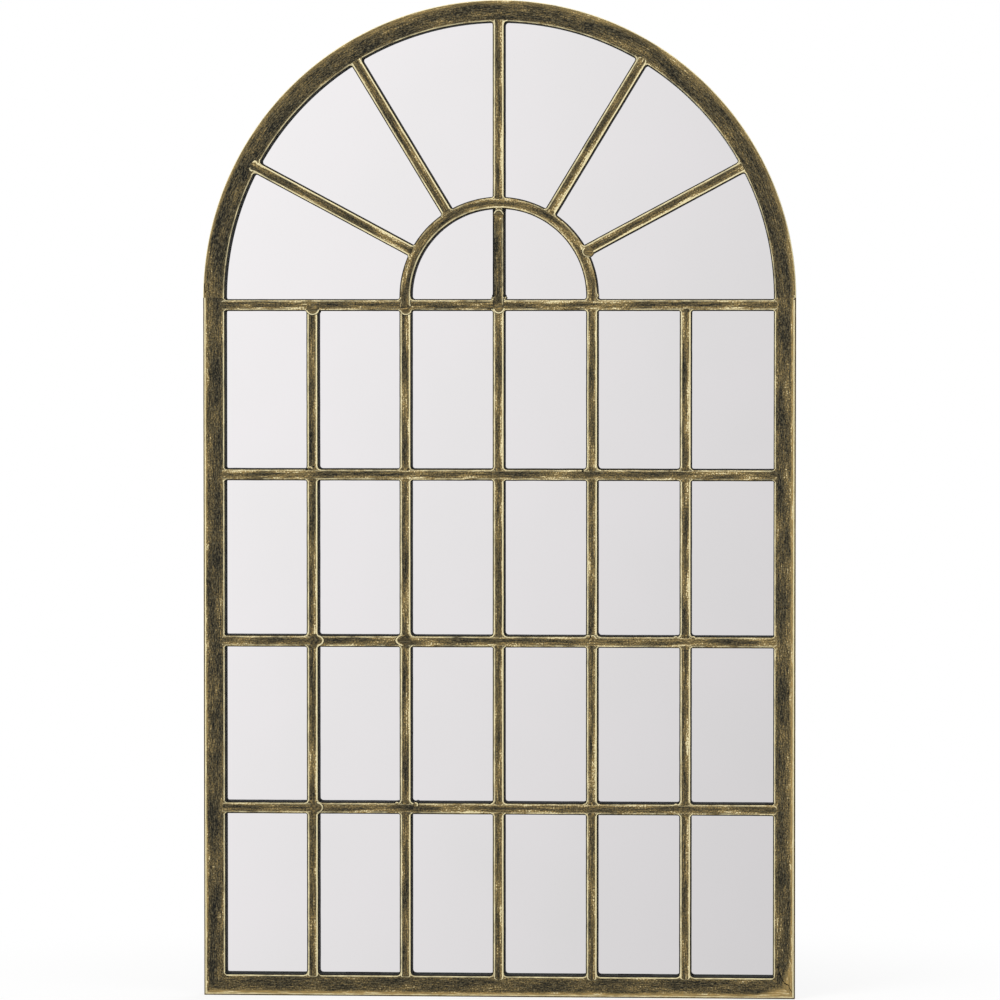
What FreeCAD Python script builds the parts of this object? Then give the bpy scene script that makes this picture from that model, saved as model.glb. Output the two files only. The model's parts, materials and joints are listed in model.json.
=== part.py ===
import FreeCAD, Part
import math
import os

# Arched window mirror, in millimetres.
# It faces -Y and +Z is up. The origin lies midway between the two keyholes, level with
# their round ends, on the back face of the frame tube.

# Frame: one square tube all round, half round at the top
overall_width = 690.0
side_height = 815.0             # from the bottom face up to the springline of the arch
frame_tube = 25.4
frame_wall = 1.2
frame_corner_r = 2.0            # rounded long edges
least_inside_share = 0.2        # a tube's inside corner radius is at least this share of the outside one

# Glazing bars: a smaller tube, welded between the frame's sides
bar_tube = 12.7
bar_wall = 1.0
bar_corner_r = 1.5
bar_setback = 0.4               # the bars' front lies this far behind the frame's front
column_count = 6
spring_rail_drop = 8.5          # the spring rail's centre below the springline
rail_drop_shares = (0.2526, 0.5011, 0.7506)   # of the way from the spring rail to the sill
rail_names = ("spring_rail", "upper_rail", "middle_rail", "lower_rail")

# Fan in the half circle: a small arc on the spring rail, five spokes and a centre post
fan_arc_lift = 1.5              # the small arc's centre above the springline
spoke_angles = (151.8, 121.2, 90.0, 58.8, 28.2)   # degrees, anticlockwise from +X

# Weld beads in the corners of the panes
weld_r = 2.4
widest_corner_share = 0.4       # of a full turn: a wider corner is a smooth join, with no bead

# Sheets behind the bars
tape_width = 6.0
tape_thickness = 1.0
tape_end_gap = 2.0
glass_thickness = 3.0
glass_gap = 1.5                 # free edge between the glass and the frame
board_thickness = 3.0
board_gap = 1.0                 # free edge between the backing board and the frame
block_length = 40.0             # rubber blocks under the glass
block_place_share = 0.5         # of the glass's half width, out from its middle

# Turn buttons that hold the backing board, and their screws
button_width = 11.0
button_thickness = 1.2
button_overlap = 8.0            # how far a closed button reaches over the board
button_play = 0.1               # free space round the screw, under the head and over the tube
screw_r = 1.7
screw_depth = 8.0               # how far the screw goes into the tube
screw_head_r = 3.6
screw_head_height = 2.0
head_round_share = 0.6          # of the head's height
stile_button_shares = (0.3, 0.72)            # of the stile's height, down from the springline
arch_button_angles = (45.0, 90.0, 135.0)     # degrees, anticlockwise from +X

# Keyholes that hang on wall screws, and the pads against the wall
keyhole_drop = 60.0             # the round end's centre below the springline
keyhole_r = 4.5
keyhole_slot_width = 4.6
keyhole_rise = 10.0             # from the round end's centre to the slot's end centre
bumper_r = 8.0
bumper_thickness = 4.5
bumper_edge_r = 1.0
bumper_arch_angle = 22.0        # degrees above the springline
bumper_rise = 40.0              # the lower pads' centres above the bottom face

# Cutting tools run past the faces that they cut by this much
overrun = 1.0

# Places worked out from the sizes
arch_outer_r = overall_width / 2
tube_line_r = arch_outer_r - frame_tube / 2
arch_inner_r = arch_outer_r - frame_tube
spring_z = keyhole_drop
bottom_z = spring_z - side_height
sill_z = bottom_z + frame_tube
column_width = (2 * arch_inner_r - (column_count - 1) * bar_tube) / column_count
column_pitch = column_width + bar_tube
spring_rail_z = spring_z - spring_rail_drop
rail_zs = [spring_rail_z]
for share in rail_drop_shares:
    rail_zs.append(spring_rail_z - share * (spring_rail_z - sill_z))
upright_xs = [column_pitch * (column - column_count / 2) for column in range(1, column_count)]
fan_floor_z = spring_rail_z + bar_tube / 2
fan_centre_z = spring_z + fan_arc_lift
fan_line_r = column_pitch
fan_outer_r = fan_line_r + bar_tube / 2
fan_inner_r = fan_line_r - bar_tube / 2

# Depths, from the front face to the back face of the frame tube at zero
frame_front = -frame_tube
bar_front = frame_front + bar_setback
bar_back = bar_front + bar_tube
glass_front = bar_back + tape_thickness
glass_back = glass_front + glass_thickness
board_front = -board_thickness
button_back = button_play + button_thickness
weld_front = bar_front + max(bar_corner_r, frame_corner_r)
weld_back = bar_back - bar_corner_r

Y_AXIS = FreeCAD.Vector(0, 1, 0)
Z_AXIS = FreeCAD.Vector(0, 0, 1)
SPRING_POINT = FreeCAD.Vector(0, 0, spring_z)
FAN_POINT = FreeCAD.Vector(0, 0, fan_centre_z)


def rounded_square(size, corner_r):
    """A square face in the XY plane, centred on the origin, with rounded corners."""
    half = size / 2
    flat = half - corner_r
    edges = []
    for quarter in range(4):
        turn = math.pi / 2 * quarter
        arc = Part.Circle(FreeCAD.Vector(flat, flat, 0), Z_AXIS, corner_r)
        corner = Part.Arc(arc, 0, math.pi / 2).toShape()
        side = Part.makeLine(FreeCAD.Vector(half, -flat, 0), FreeCAD.Vector(half, flat, 0))
        for edge in (side, corner):
            edge.rotate(FreeCAD.Vector(0, 0, 0), Z_AXIS, math.degrees(turn))
            edges.append(edge)
    return Part.Face(Part.Wire(edges))


def tube_section(size, wall, corner_r):
    """The hollow section of a square tube."""
    inside = size - 2 * wall
    inside_r = max(corner_r - wall, corner_r * least_inside_share)
    section = rounded_square(size, corner_r).cut(rounded_square(inside, inside_r))
    return section.Faces[0]


frame_section = tube_section(frame_tube, frame_wall, frame_corner_r)
bar_section = tube_section(bar_tube, bar_wall, bar_corner_r)
frame_mid = frame_front + frame_tube / 2
bar_mid = bar_front + bar_tube / 2


def straight_tube(section, mid_y, start, end):
    """A tube from one point to another of the XZ plane, each given as (x, z)."""
    run = FreeCAD.Vector(end[0] - start[0], 0, end[1] - start[1])
    tube = section.extrude(Z_AXIS * run.Length)
    lean = math.degrees(math.atan2(run.x, run.z))
    tube.rotate(FreeCAD.Vector(0, 0, 0), Y_AXIS, lean)
    tube.translate(FreeCAD.Vector(start[0], mid_y, start[1]))
    return tube


def bent_tube(section, mid_y, line_r, centre):
    """A tube bent to a half circle that stands on the centre's level."""
    start = section.copy()
    start.translate(FreeCAD.Vector(line_r, mid_y, centre.z))
    return start.revolve(centre, -Y_AXIS, 180)


def disc(radius, centre, front, back):
    """A round plate that faces along Y."""
    return Part.makeCylinder(radius, back - front, centre + Y_AXIS * front, Y_AXIS)


def block(x_low, x_high, front, back, z_low, z_high):
    """A rectangular block between six planes."""
    corner = FreeCAD.Vector(x_low, front, z_low)
    return Part.makeBox(x_high - x_low, back - front, z_high - z_low, corner)


def polar(radius, angle, centre_z):
    """The point (x, z) at this radius and angle in degrees, round a centre on the Z axis."""
    turn = math.radians(angle)
    return radius * math.cos(turn), centre_z + radius * math.sin(turn)


def flat_plate(outline, front, thickness):
    """A plate from the (x, z) corners of its outline, which runs along Y by its thickness."""
    points = [FreeCAD.Vector(x, front, z) for x, z in outline]
    face = Part.Face(Part.makePolygon(points + points[:1]))
    return face.extrude(Y_AXIS * thickness)


# Frame

def mitre_wedge(side, below):
    """The waste at a bottom corner: below the 45 degree line for a stile, above it for the rail."""
    outer = arch_outer_r + overrun
    inner = arch_inner_r - overrun
    low = bottom_z - overrun
    high = sill_z + overrun
    square_corner = (inner, low) if below else (outer, high)
    outline = [(outer, low), (inner, high), square_corner]
    outline = [(side * x, z) for x, z in outline]
    return flat_plate(outline, frame_front - overrun, frame_tube + 2 * overrun)


def keyhole(x):
    """The cutter for one keyhole, which only goes through the back wall of the tube."""
    front = -frame_wall - overrun
    round_end = disc(keyhole_r, FreeCAD.Vector(x, 0, 0), front, overrun)
    slot_end = disc(keyhole_slot_width / 2, FreeCAD.Vector(x, 0, keyhole_rise), front, overrun)
    half_slot = keyhole_slot_width / 2
    slot = block(x - half_slot, x + half_slot, front, overrun, 0, keyhole_rise)
    return round_end.fuse([slot_end, slot])


def button_seats():
    """Each turn button's pivot as (x, z), and the way it points when closed, in degrees."""
    rail_z = bottom_z + frame_tube / 2
    stile_zs = [spring_z - share * side_height for share in stile_button_shares]
    seats = [(-tube_line_r, z, 0) for z in stile_zs]
    seats.append((0, rail_z, 90))
    seats += [(tube_line_r, z, 180) for z in reversed(stile_zs)]
    for angle in arch_button_angles:
        x, z = polar(tube_line_r, angle, spring_z)
        seats.append((x, z, angle + 180))
    return seats


def drilled(tube):
    """The tube with a pilot hole through its back wall for each screw that it carries."""
    box = tube.BoundBox
    for x, z, _ in button_seats():
        if box.XMin < x < box.XMax and box.ZMin < z < box.ZMax:
            hole = disc(screw_r, FreeCAD.Vector(x, 0, z), -frame_wall - overrun, overrun)
            tube = tube.cut(hole)
    return tube


def make_stile(side):
    x = side * tube_line_r
    stile = straight_tube(frame_section, frame_mid, (x, bottom_z), (x, spring_z))
    return drilled(stile.cut(mitre_wedge(side, True)).cut(keyhole(x)))


def make_bottom_rail():
    z = bottom_z + frame_tube / 2
    rail = straight_tube(frame_section, frame_mid, (-arch_outer_r, z), (arch_outer_r, z))
    for side in (-1, 1):
        rail = rail.cut(mitre_wedge(side, False))
    return drilled(rail)


def make_arch():
    return drilled(bent_tube(frame_section, frame_mid, tube_line_r, SPRING_POINT))


# Glazing bars

def make_rail(z):
    return straight_tube(bar_section, bar_mid, (-arch_inner_r, z), (arch_inner_r, z))


def row_levels():
    """The lower and upper level of each row of panes, from the top row down."""
    tops = [z - bar_tube / 2 for z in rail_zs]
    bottoms = [z + bar_tube / 2 for z in rail_zs[1:]] + [sill_z]
    return list(zip(bottoms, tops))


def make_upright(x, levels):
    return straight_tube(bar_section, bar_mid, (x, levels[0]), (x, levels[1]))


def make_fan_arc():
    arc = bent_tube(bar_section, bar_mid, fan_line_r, FAN_POINT)
    legs = []
    for x in (-fan_line_r, fan_line_r):
        legs.append(straight_tube(bar_section, bar_mid, (x, fan_floor_z), (x, fan_centre_z)))
    return arc.fuse(legs).removeSplitter()


def fan_room():
    """The space between the small arc and the arch, which the spokes cross."""
    room = disc(arch_inner_r, SPRING_POINT, frame_front, 0)
    return room.cut(disc(fan_outer_r, FAN_POINT, frame_front - overrun, overrun))


def make_spoke(angle):
    start = polar(fan_inner_r, angle, spring_z)
    end = polar(tube_line_r, angle, spring_z)
    return straight_tube(bar_section, bar_mid, start, end).common(fan_room())


def make_fan_post():
    start = (0, fan_floor_z)
    end = (0, fan_centre_z + fan_line_r)
    post = straight_tube(bar_section, bar_mid, start, end)
    return post.common(disc(fan_inner_r, FAN_POINT, frame_front, 0))


# Weld beads

def square_panes():
    """The open space of each rectangular pane, as deep as the flat sides of the bars."""
    panes = []
    for z_low, z_high in row_levels():
        for column in range(column_count):
            x_low = column * column_pitch - arch_inner_r
            x_high = x_low + column_width
            panes.append(block(x_low, x_high, weld_front, weld_back, z_low, z_high))
    return panes


def fan_panes():
    """The open spaces of the fan, bounded by the arch, the small arc, spokes, post and rail."""
    half_disc = disc(arch_inner_r, SPRING_POINT, weld_front, weld_back)
    upper = block(-arch_outer_r, arch_outer_r, weld_front, weld_back, spring_z, spring_z + arch_outer_r)
    lower = block(-arch_inner_r, arch_inner_r, weld_front, weld_back, fan_floor_z, spring_z)
    room = half_disc.common(upper).fuse(lower)
    ring = disc(fan_outer_r, FAN_POINT, frame_front, 0).cut(disc(fan_inner_r, FAN_POINT, frame_front, 0))
    floor_room = block(-arch_inner_r, arch_inner_r, frame_front, 0, fan_centre_z - fan_outer_r, fan_centre_z)
    bars = [ring.cut(floor_room)]
    for x in (-fan_line_r, fan_line_r):
        low, high = x - bar_tube / 2, x + bar_tube / 2
        bars.append(block(low, high, frame_front, 0, fan_floor_z - overrun, fan_centre_z))
    solid_section = rounded_square(bar_tube, bar_corner_r)
    for angle in spoke_angles:
        start = polar(fan_line_r, angle, spring_z)
        end = polar(tube_line_r, angle, spring_z)
        bars.append(straight_tube(solid_section, bar_mid, start, end))
    post_top = fan_centre_z + fan_line_r
    bars.append(block(-bar_tube / 2, bar_tube / 2, frame_front, 0, fan_floor_z - overrun, post_top))
    return room.cut(bars).Solids


def make_weld_beads():
    """A quarter-round bead up each corner of each pane."""
    beads = []
    length = weld_back - weld_front
    full_volume = math.pi * weld_r ** 2 * length
    for pane in square_panes() + fan_panes():
        for edge in pane.Edges:
            low, high = sorted((vertex.Point for vertex in edge.Vertexes), key=lambda p: p.y)
            if abs(high.y - low.y) < length / 2:
                continue
            bead = Part.makeCylinder(weld_r, length, low, Y_AXIS).common(pane)
            if bead.Volume < widest_corner_share * full_volume:
                beads += bead.Solids
    return Part.makeCompound(beads)


# Sheets behind the bars

def arched_sheet(gap, front, back):
    """A sheet in the outline of the frame's inside, smaller by a gap all round."""
    half = arch_inner_r - gap
    left = FreeCAD.Vector(-half, front, spring_z)
    right = FreeCAD.Vector(half, front, spring_z)
    top = FreeCAD.Vector(0, front, spring_z + half)
    low_right = FreeCAD.Vector(half, front, sill_z + gap)
    low_left = FreeCAD.Vector(-half, front, sill_z + gap)
    sides = Part.makePolygon([right, low_right, low_left, left]).Edges
    head = Part.Arc(left, top, right).toShape()
    return Part.Face(Part.Wire(sides + [head])).extrude(Y_AXIS * (back - front))


def tape_strip(start, end):
    """A strip of tape behind a bar, along the line between two points (x, z)."""
    run = FreeCAD.Vector(end[0] - start[0], 0, end[1] - start[1])
    half = tape_width / 2
    strip = block(-half, half, bar_back, glass_front, 0, run.Length)
    strip.rotate(FreeCAD.Vector(0, 0, 0), Y_AXIS, math.degrees(math.atan2(run.x, run.z)))
    strip.translate(FreeCAD.Vector(start[0], 0, start[1]))
    return strip


def make_bedding_tape():
    strips = []
    rail_end = arch_inner_r - tape_end_gap
    for z in rail_zs:
        strips.append(tape_strip((-rail_end, z), (rail_end, z)))
    for z_low, z_high in row_levels():
        for x in upright_xs:
            strips.append(tape_strip((x, z_low + tape_end_gap), (x, z_high - tape_end_gap)))
    half = tape_width / 2
    ring = disc(fan_line_r + half, FAN_POINT, bar_back, glass_front)
    ring = ring.cut(disc(fan_line_r - half, FAN_POINT, bar_back - overrun, glass_front + overrun))
    above = block(-fan_outer_r, fan_outer_r, bar_back, glass_front, fan_centre_z, fan_centre_z + fan_outer_r)
    strips.append(ring.common(above))
    for angle in spoke_angles:
        start = polar(fan_outer_r + tape_end_gap + fan_arc_lift, angle, spring_z)
        end = polar(arch_inner_r - tape_end_gap, angle, spring_z)
        strips.append(tape_strip(start, end))
    post_top = fan_centre_z + fan_inner_r - tape_end_gap
    strips.append(tape_strip((0, fan_floor_z + tape_end_gap), (0, post_top)))
    return Part.makeCompound(strips)


def make_setting_blocks():
    blocks = []
    reach = block_place_share * (arch_inner_r - glass_gap)
    for x in (-reach, reach):
        x_low, x_high = x - block_length / 2, x + block_length / 2
        blocks.append(block(x_low, x_high, glass_front, glass_back, sill_z, sill_z + glass_gap))
    return Part.makeCompound(blocks)


# Turn buttons, screws and wall pads

def make_turn_button(x, z, pointing):
    """A round-ended steel plate with its pivot hole at one end."""
    end_r = button_width / 2
    tip = frame_tube / 2 + board_gap + button_overlap - end_r
    corners = [(0, -end_r), (tip, -end_r), (tip, end_r), (0, end_r)]
    plate = flat_plate(corners, button_play, button_thickness)
    ends = []
    for end_x in (0, tip):
        ends.append(disc(end_r, FreeCAD.Vector(end_x, 0, 0), button_play, button_back))
    plate = plate.fuse(ends).removeSplitter()
    plate = plate.cut(disc(screw_r + button_play, FreeCAD.Vector(0, 0, 0), -overrun, button_back + overrun))
    plate.rotate(FreeCAD.Vector(0, 0, 0), Y_AXIS, -pointing)
    plate.translate(FreeCAD.Vector(x, 0, z))
    return plate


def make_screw(x, z):
    seat = button_back + button_play
    centre = FreeCAD.Vector(x, 0, z)
    head = disc(screw_head_r, centre, seat, seat + screw_head_height)
    rim = [edge for edge in head.Edges if edge.CenterOfMass.y > seat + screw_head_height / 2]
    rim = [edge for edge in rim if edge.Closed]
    head = head.makeFillet(head_round_share * screw_head_height, rim)
    shank = disc(screw_r, centre, -screw_depth, seat)
    return head.fuse(shank).removeSplitter()


def make_wall_bumpers():
    pads = []
    for side in (-1, 1):
        x, z = polar(tube_line_r, bumper_arch_angle, spring_z)
        for pad_x, pad_z in ((x, z), (tube_line_r, bottom_z + bumper_rise)):
            pad = disc(bumper_r, FreeCAD.Vector(side * pad_x, 0, pad_z), 0, bumper_thickness)
            rim = [edge for edge in pad.Edges if edge.Closed]
            rim = [edge for edge in rim if edge.CenterOfMass.y > bumper_thickness / 2]
            pads.append(pad.makeFillet(bumper_edge_r, rim))
    return Part.makeCompound(pads)


# All pieces by name

def make_pieces():
    pieces = {
        "arch_tube": make_arch(),
        "left_stile": make_stile(-1),
        "right_stile": make_stile(1),
        "bottom_rail": make_bottom_rail(),
        "fan_arc": make_fan_arc(),
        "fan_post": make_fan_post(),
        "weld_beads": make_weld_beads(),
        "bedding_tape": make_bedding_tape(),
        "mirror_glass": arched_sheet(glass_gap, glass_front, glass_back),
        "setting_blocks": make_setting_blocks(),
        "card_sheet": arched_sheet(glass_gap, glass_back, board_front),
        "backing_board": arched_sheet(board_gap, board_front, 0),
        "wall_bumpers": make_wall_bumpers(),
    }
    for name, z in zip(rail_names, rail_zs):
        pieces[name] = make_rail(z)
    for row, levels in enumerate(row_levels(), 1):
        for column, x in enumerate(upright_xs, 1):
            pieces[f"upright_r{row}_c{column}"] = make_upright(x, levels)
    for number, angle in enumerate(spoke_angles, 1):
        pieces[f"fan_spoke_{number}"] = make_spoke(angle)
    seats = button_seats()
    for number, seat in enumerate(seats, 1):
        pieces[f"turn_button_{number}"] = make_turn_button(*seat)
    pieces["turn_button_screws"] = Part.makeCompound([make_screw(x, z) for x, z, _ in seats])
    return pieces


os.makedirs("parts", exist_ok=True)
for name, shape in make_pieces().items():
    shape.exportStep(f"parts/{name}.step")
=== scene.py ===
import json
from collections import namedtuple
from functools import partial
from math import atan2, cos, hypot, pi, radians, sin, sqrt
from random import Random

import bmesh
import bpy
from mathutils import Matrix, Vector, noise


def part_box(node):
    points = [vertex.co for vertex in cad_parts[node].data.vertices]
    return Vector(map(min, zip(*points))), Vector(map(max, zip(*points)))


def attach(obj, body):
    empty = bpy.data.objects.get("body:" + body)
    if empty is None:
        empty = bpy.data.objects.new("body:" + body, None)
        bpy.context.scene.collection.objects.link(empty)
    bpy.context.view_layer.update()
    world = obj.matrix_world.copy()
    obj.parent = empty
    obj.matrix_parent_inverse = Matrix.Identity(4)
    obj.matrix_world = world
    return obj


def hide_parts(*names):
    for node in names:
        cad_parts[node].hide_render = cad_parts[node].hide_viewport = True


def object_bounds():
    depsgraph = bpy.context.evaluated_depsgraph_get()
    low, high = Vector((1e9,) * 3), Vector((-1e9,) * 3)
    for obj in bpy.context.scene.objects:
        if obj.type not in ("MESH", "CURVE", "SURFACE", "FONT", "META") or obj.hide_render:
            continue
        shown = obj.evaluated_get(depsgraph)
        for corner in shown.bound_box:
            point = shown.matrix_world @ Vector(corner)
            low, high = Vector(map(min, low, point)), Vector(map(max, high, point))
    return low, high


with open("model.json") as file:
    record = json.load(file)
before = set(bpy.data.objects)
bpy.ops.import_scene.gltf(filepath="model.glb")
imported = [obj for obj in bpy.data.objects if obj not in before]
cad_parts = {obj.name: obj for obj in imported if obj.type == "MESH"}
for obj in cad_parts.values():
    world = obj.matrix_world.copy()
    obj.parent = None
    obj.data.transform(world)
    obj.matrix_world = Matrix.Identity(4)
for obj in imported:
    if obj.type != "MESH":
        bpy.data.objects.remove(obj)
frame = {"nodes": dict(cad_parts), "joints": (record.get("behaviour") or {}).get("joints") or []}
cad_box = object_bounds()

bl_info = {
    "name": "Arched window mirror",
    "version": (1, 0, 0),
    "blender": (4, 5, 0),
    "location": "View3D > Sidebar > Arched mirror",
    "description": "Dresses the welded tube frame, its mirror sheet and the fittings on its back",
    "category": "Object",
}

MM = 0.001
# Cuts join the corners that lie closer than this, and edges shorter than a sliver are taken out
HAIR = 1e-6
SLIVER = 0.003 * MM
# Edges that turn more than this, in degrees, stay sharp
SHARP = 32
BODY = "mirror_body"
UP = Vector((0, 0, 1))
RIGHT = Vector((1, 0, 0))
BACKWARD = Vector((0, 1, 0))

# Places read from the model
sill_low, sill_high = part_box("bottom_rail")
fan_low, fan_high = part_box("fan_arc")
rail_low, rail_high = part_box("spring_rail")
FLOOR = cad_box[0].z
FRAME_TUBE = sill_high.z - sill_low.z
BAR_TUBE = rail_high.z - rail_low.z
FRAME_MIDDLE_Y = (sill_low.y + sill_high.y) / 2
BAR_MIDDLE_Y = (rail_low.y + rail_high.y) / 2
FRAME_FRONT = sill_low.y
BAR_FRONT = rail_low.y
ARCH_OUTER = cad_box[1].x
ARCH_LINE = ARCH_OUTER - FRAME_TUBE / 2
ARCH_INNER = ARCH_OUTER - FRAME_TUBE
SPRING = Vector((0, 0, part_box("left_stile")[1].z))
SILL_TOP = sill_high.z
FAN_OUTER = fan_high.x
FAN_LINE = FAN_OUTER - BAR_TUBE / 2
FAN_CENTRE = Vector((0, 0, fan_high.z - FAN_OUTER))
FAN_FLOOR = fan_low.z
SPOKE_ANGLES = (151.8, 121.2, 90.0, 58.8, 28.2)
RAILS = ("spring_rail", "upper_rail", "middle_rail", "lower_rail")
COLUMNS = 5
ROWS = 4

# How each spoke's outer end and each upright's foot runs over the frame: how long against the usual
# tongue, how flared and how round
SPOKE_TONGUES = ((2.1, 0.32, 0.5), (0.5, 0.1, 0.0), (0.7, 0.2, 0.2), (1.3, 0.05, 0.97),
                 (0.5, 0.05, 0.1))
FOOT_TONGUES = ((0.6, 0.1, 0.3), (0.6, 0.1, 0.3), (1.45, 0.1, 0.9), (1.4, 0.05, 0.97),
                (1.0, 0.12, 0.97))


def linear(code):
    """An sRGB hex colour as linear red, green and blue."""
    shares = [int(code[place:place + 2], 16) / 255 for place in (1, 3, 5)]
    return [s / 12.92 if s <= 0.04045 else ((s + 0.055) / 1.055) ** 2.4 for s in shares]


def size_setting(name, description, default, least, most):
    """A size that a user can change, given here in millimetres."""
    return bpy.props.FloatProperty(name=name, description=description, default=default * MM,
                                   min=least * MM, max=most * MM, unit="LENGTH")


def colour_setting(name, description, code):
    """A colour that a user can change."""
    return bpy.props.FloatVectorProperty(name=name, description=description, default=linear(code),
                                         size=3, min=0, max=1, subtype="COLOR")


class MirrorSizes(bpy.types.PropertyGroup):
    """Sizes of the hand work on the frame."""

    frame_corner: size_setting("Frame corner", "Radius of the frame tube's long edges", 2.0, 0.5, 4)
    bar_corner: size_setting("Bar corner", "Radius of the glazing bars' long edges", 1.5, 0.4, 3)
    face_rub: size_setting(
        "Face rub", "How far the frame's front face is rubbed back behind the welds", 0.15, 0, 0.4)
    edge_build: size_setting(
        "Edge build", "How thick the enamel has gathered on the long sides of a bar", 0.6, 0, 1)
    weld_reach: size_setting(
        "Weld reach", "Mean radius of the ground welds in the panes' corners", 2.4, 1, 6)
    tongue: size_setting(
        "Weld tongue", "How far a bar's welded end runs over the frame's face", 3.6, 1, 6)
    ripple: size_setting("Edge ripple", "How far the brushed edges wander", 0.12, 0, 0.5)
    streak_length: size_setting("Streak length", "Length of the dry brush's streaks", 24, 2, 80)
    streak_width: size_setting("Streak width", "Width of the dry brush's streaks", 1.3, 0.3, 4)
    patch_length: size_setting(
        "Patch length", "Length of the lighter and darker patches", 52, 10, 150)
    edging_width: size_setting(
        "Edging", "How far in from the edges the gold lies thicker", 4.6, 1, 10)
    # The bright line on each edge is rubbed gold with a painted highlight
    crest_width: size_setting(
        "Crest width", "Width of the bright rubbed, highlighted line on each edge", 1.4, 0.3, 3)


class MirrorColours(bpy.types.PropertyGroup):
    """Colours of the finishes."""

    patina: colour_setting("Patina", "Black-brown enamel under the gold", "#2C291E")
    umber: colour_setting("Umber", "Thin gold over the enamel", "#50462F")
    gold: colour_setting("Antique gold", "The dry-brushed gold", "#8C794E")
    bright_gold: colour_setting("Bright gold", "Gold brushed on twice, beside the edges", "#B2955C")
    # The pale gold of the rubbed edges, which also serves as their painted highlight
    crest: colour_setting("Rubbed gold and highlight", "The pale gold and painted highlight on the rubbed edges", "#F0E4B6")
    enamel: colour_setting("Enamel", "The tubes' sides and back", "#10110F")
    silver: colour_setting("Silvering", "What the mirror gives back of the light", "#F9F7F8")
    board: colour_setting("Backing board", "The hardboard's black coat", "#2A2725")
    zinc: colour_setting("Zinc", "The plating on the turn buttons and screws", "#C6C9CC")
    rubber: colour_setting("Rubber", "The wall pads and setting blocks", "#1D1D1E")
    foam: colour_setting("Foam", "The bedding tape", "#2C2C2D")
    card: colour_setting("Card", "The corrugated card behind the glass", "#B48E62")


# Finishes

def add(tree, kind, inputs=(), out=0, **settings):
    """Adds a node with its settings and gives one of its outputs.

    The inputs are numbers, colours or other nodes' outputs, in the order of the node's sockets or
    under their names or numbers.
    """
    node = tree.nodes.new("ShaderNode" + kind)
    for name, value in settings.items():
        setattr(node, name, value)
    for socket, value in inputs.items() if isinstance(inputs, dict) else enumerate(inputs):
        if isinstance(value, bpy.types.NodeSocket):
            tree.links.new(value, node.inputs[socket])
        else:
            node.inputs[socket].default_value = value
    return node.outputs[out] if node.outputs else None


def shade(colour, share=1):
    """A darker or lighter shade of a colour, for a node."""
    return *[share * part for part in colour], 1


def surface(node, inputs):
    """The Principled shader and the output that it goes to."""
    node("OutputMaterial", {"Surface": node("BsdfPrincipled", inputs)})


def material_of(name, lay_out, *details):
    """The material of that name. lay_out adds its nodes the first time that it is asked for."""
    material = bpy.data.materials.get(name)
    if material is None:
        material = bpy.data.materials.new(name)
        material.use_nodes = True
        material.node_tree.nodes.clear()
        lay_out(partial(add, material.node_tree), bpy.context.scene.arched_mirror_colours, *details)
    return material


# How a tube was brushed. gilt is how thick the gold lies on the whole, patchy and spread how much
# that varies along the tube and from streak to streak, streak how long the streaks are against the
# usual. The edges say how far out of the front's flat the pale lines lie, on the side of the
# opening (or the left) and on the other side, and with them where the black beyond the lines
# begins, which is partly painted shade. The rubs say how bare the pale lines are; these lines are
# rubbed gold that also carries a painted highlight. The golds say how much gold is added along
# them. band is how much gold lies along the outer edge, narrow how wide that is at the left, and
# outer_side what the brush left on the outer side.
Brushing = namedtuple(
    "Brushing", "gilt patchy spread streak inner_edge outer_edge inner_rub outer_rub inner_gold "
    "outer_gold band narrow outer_side")
FRAME_BRUSHING = Brushing(
    gilt=0.305, patchy=1.25, spread=0.85, streak=1.0, inner_edge=0.7 * MM, outer_edge=-0.1 * MM,
    inner_rub=0.85, outer_rub=1.1, inner_gold=0.2, outer_gold=0.6, band=0.9, narrow=0.22,
    outer_side=0.6)
BAR_BRUSHING = Brushing(
    gilt=0.395, patchy=1.45, spread=0.72, streak=1.9, inner_edge=-0.4 * MM, outer_edge=-0.4 * MM,
    inner_rub=0.8, outer_rub=1.2, inner_gold=0.08, outer_gold=0.46, band=0.0, narrow=0.0,
    outer_side=0.0)
BRUSHING = {
    "arch": FRAME_BRUSHING._replace(
        gilt=0.27, outer_edge=2.1 * MM, inner_rub=0.4, outer_gold=0.4, band=0.5),
    "stile": FRAME_BRUSHING,
    "sill": FRAME_BRUSHING._replace(
        gilt=0.335, patchy=0.9, inner_edge=0.2 * MM, inner_rub=0.75, outer_rub=0.6, band=1.0,
        narrow=0.6),
    "rail": BAR_BRUSHING._replace(
        streak=1.5, inner_rub=0.25, outer_rub=0.4, inner_gold=0.32, outer_gold=0.32),
    "upright": BAR_BRUSHING,
    "fan": BAR_BRUSHING._replace(
        gilt=0.38, spread=0.65, streak=1.2, inner_rub=0.45, outer_rub=0.2, inner_gold=0.3,
        outer_gold=0.35),
    "post": BAR_BRUSHING._replace(
        gilt=0.34, spread=0.7, streak=1.0, inner_edge=-1.0 * MM, outer_edge=-0.7 * MM,
        inner_rub=-0.1, outer_rub=0.3, inner_gold=0.0, outer_gold=0.1),
    "weld": BAR_BRUSHING._replace(
        gilt=0.49, patchy=0.8, streak=0.5, outer_rub=0.8, outer_gold=0.12),
}


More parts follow.
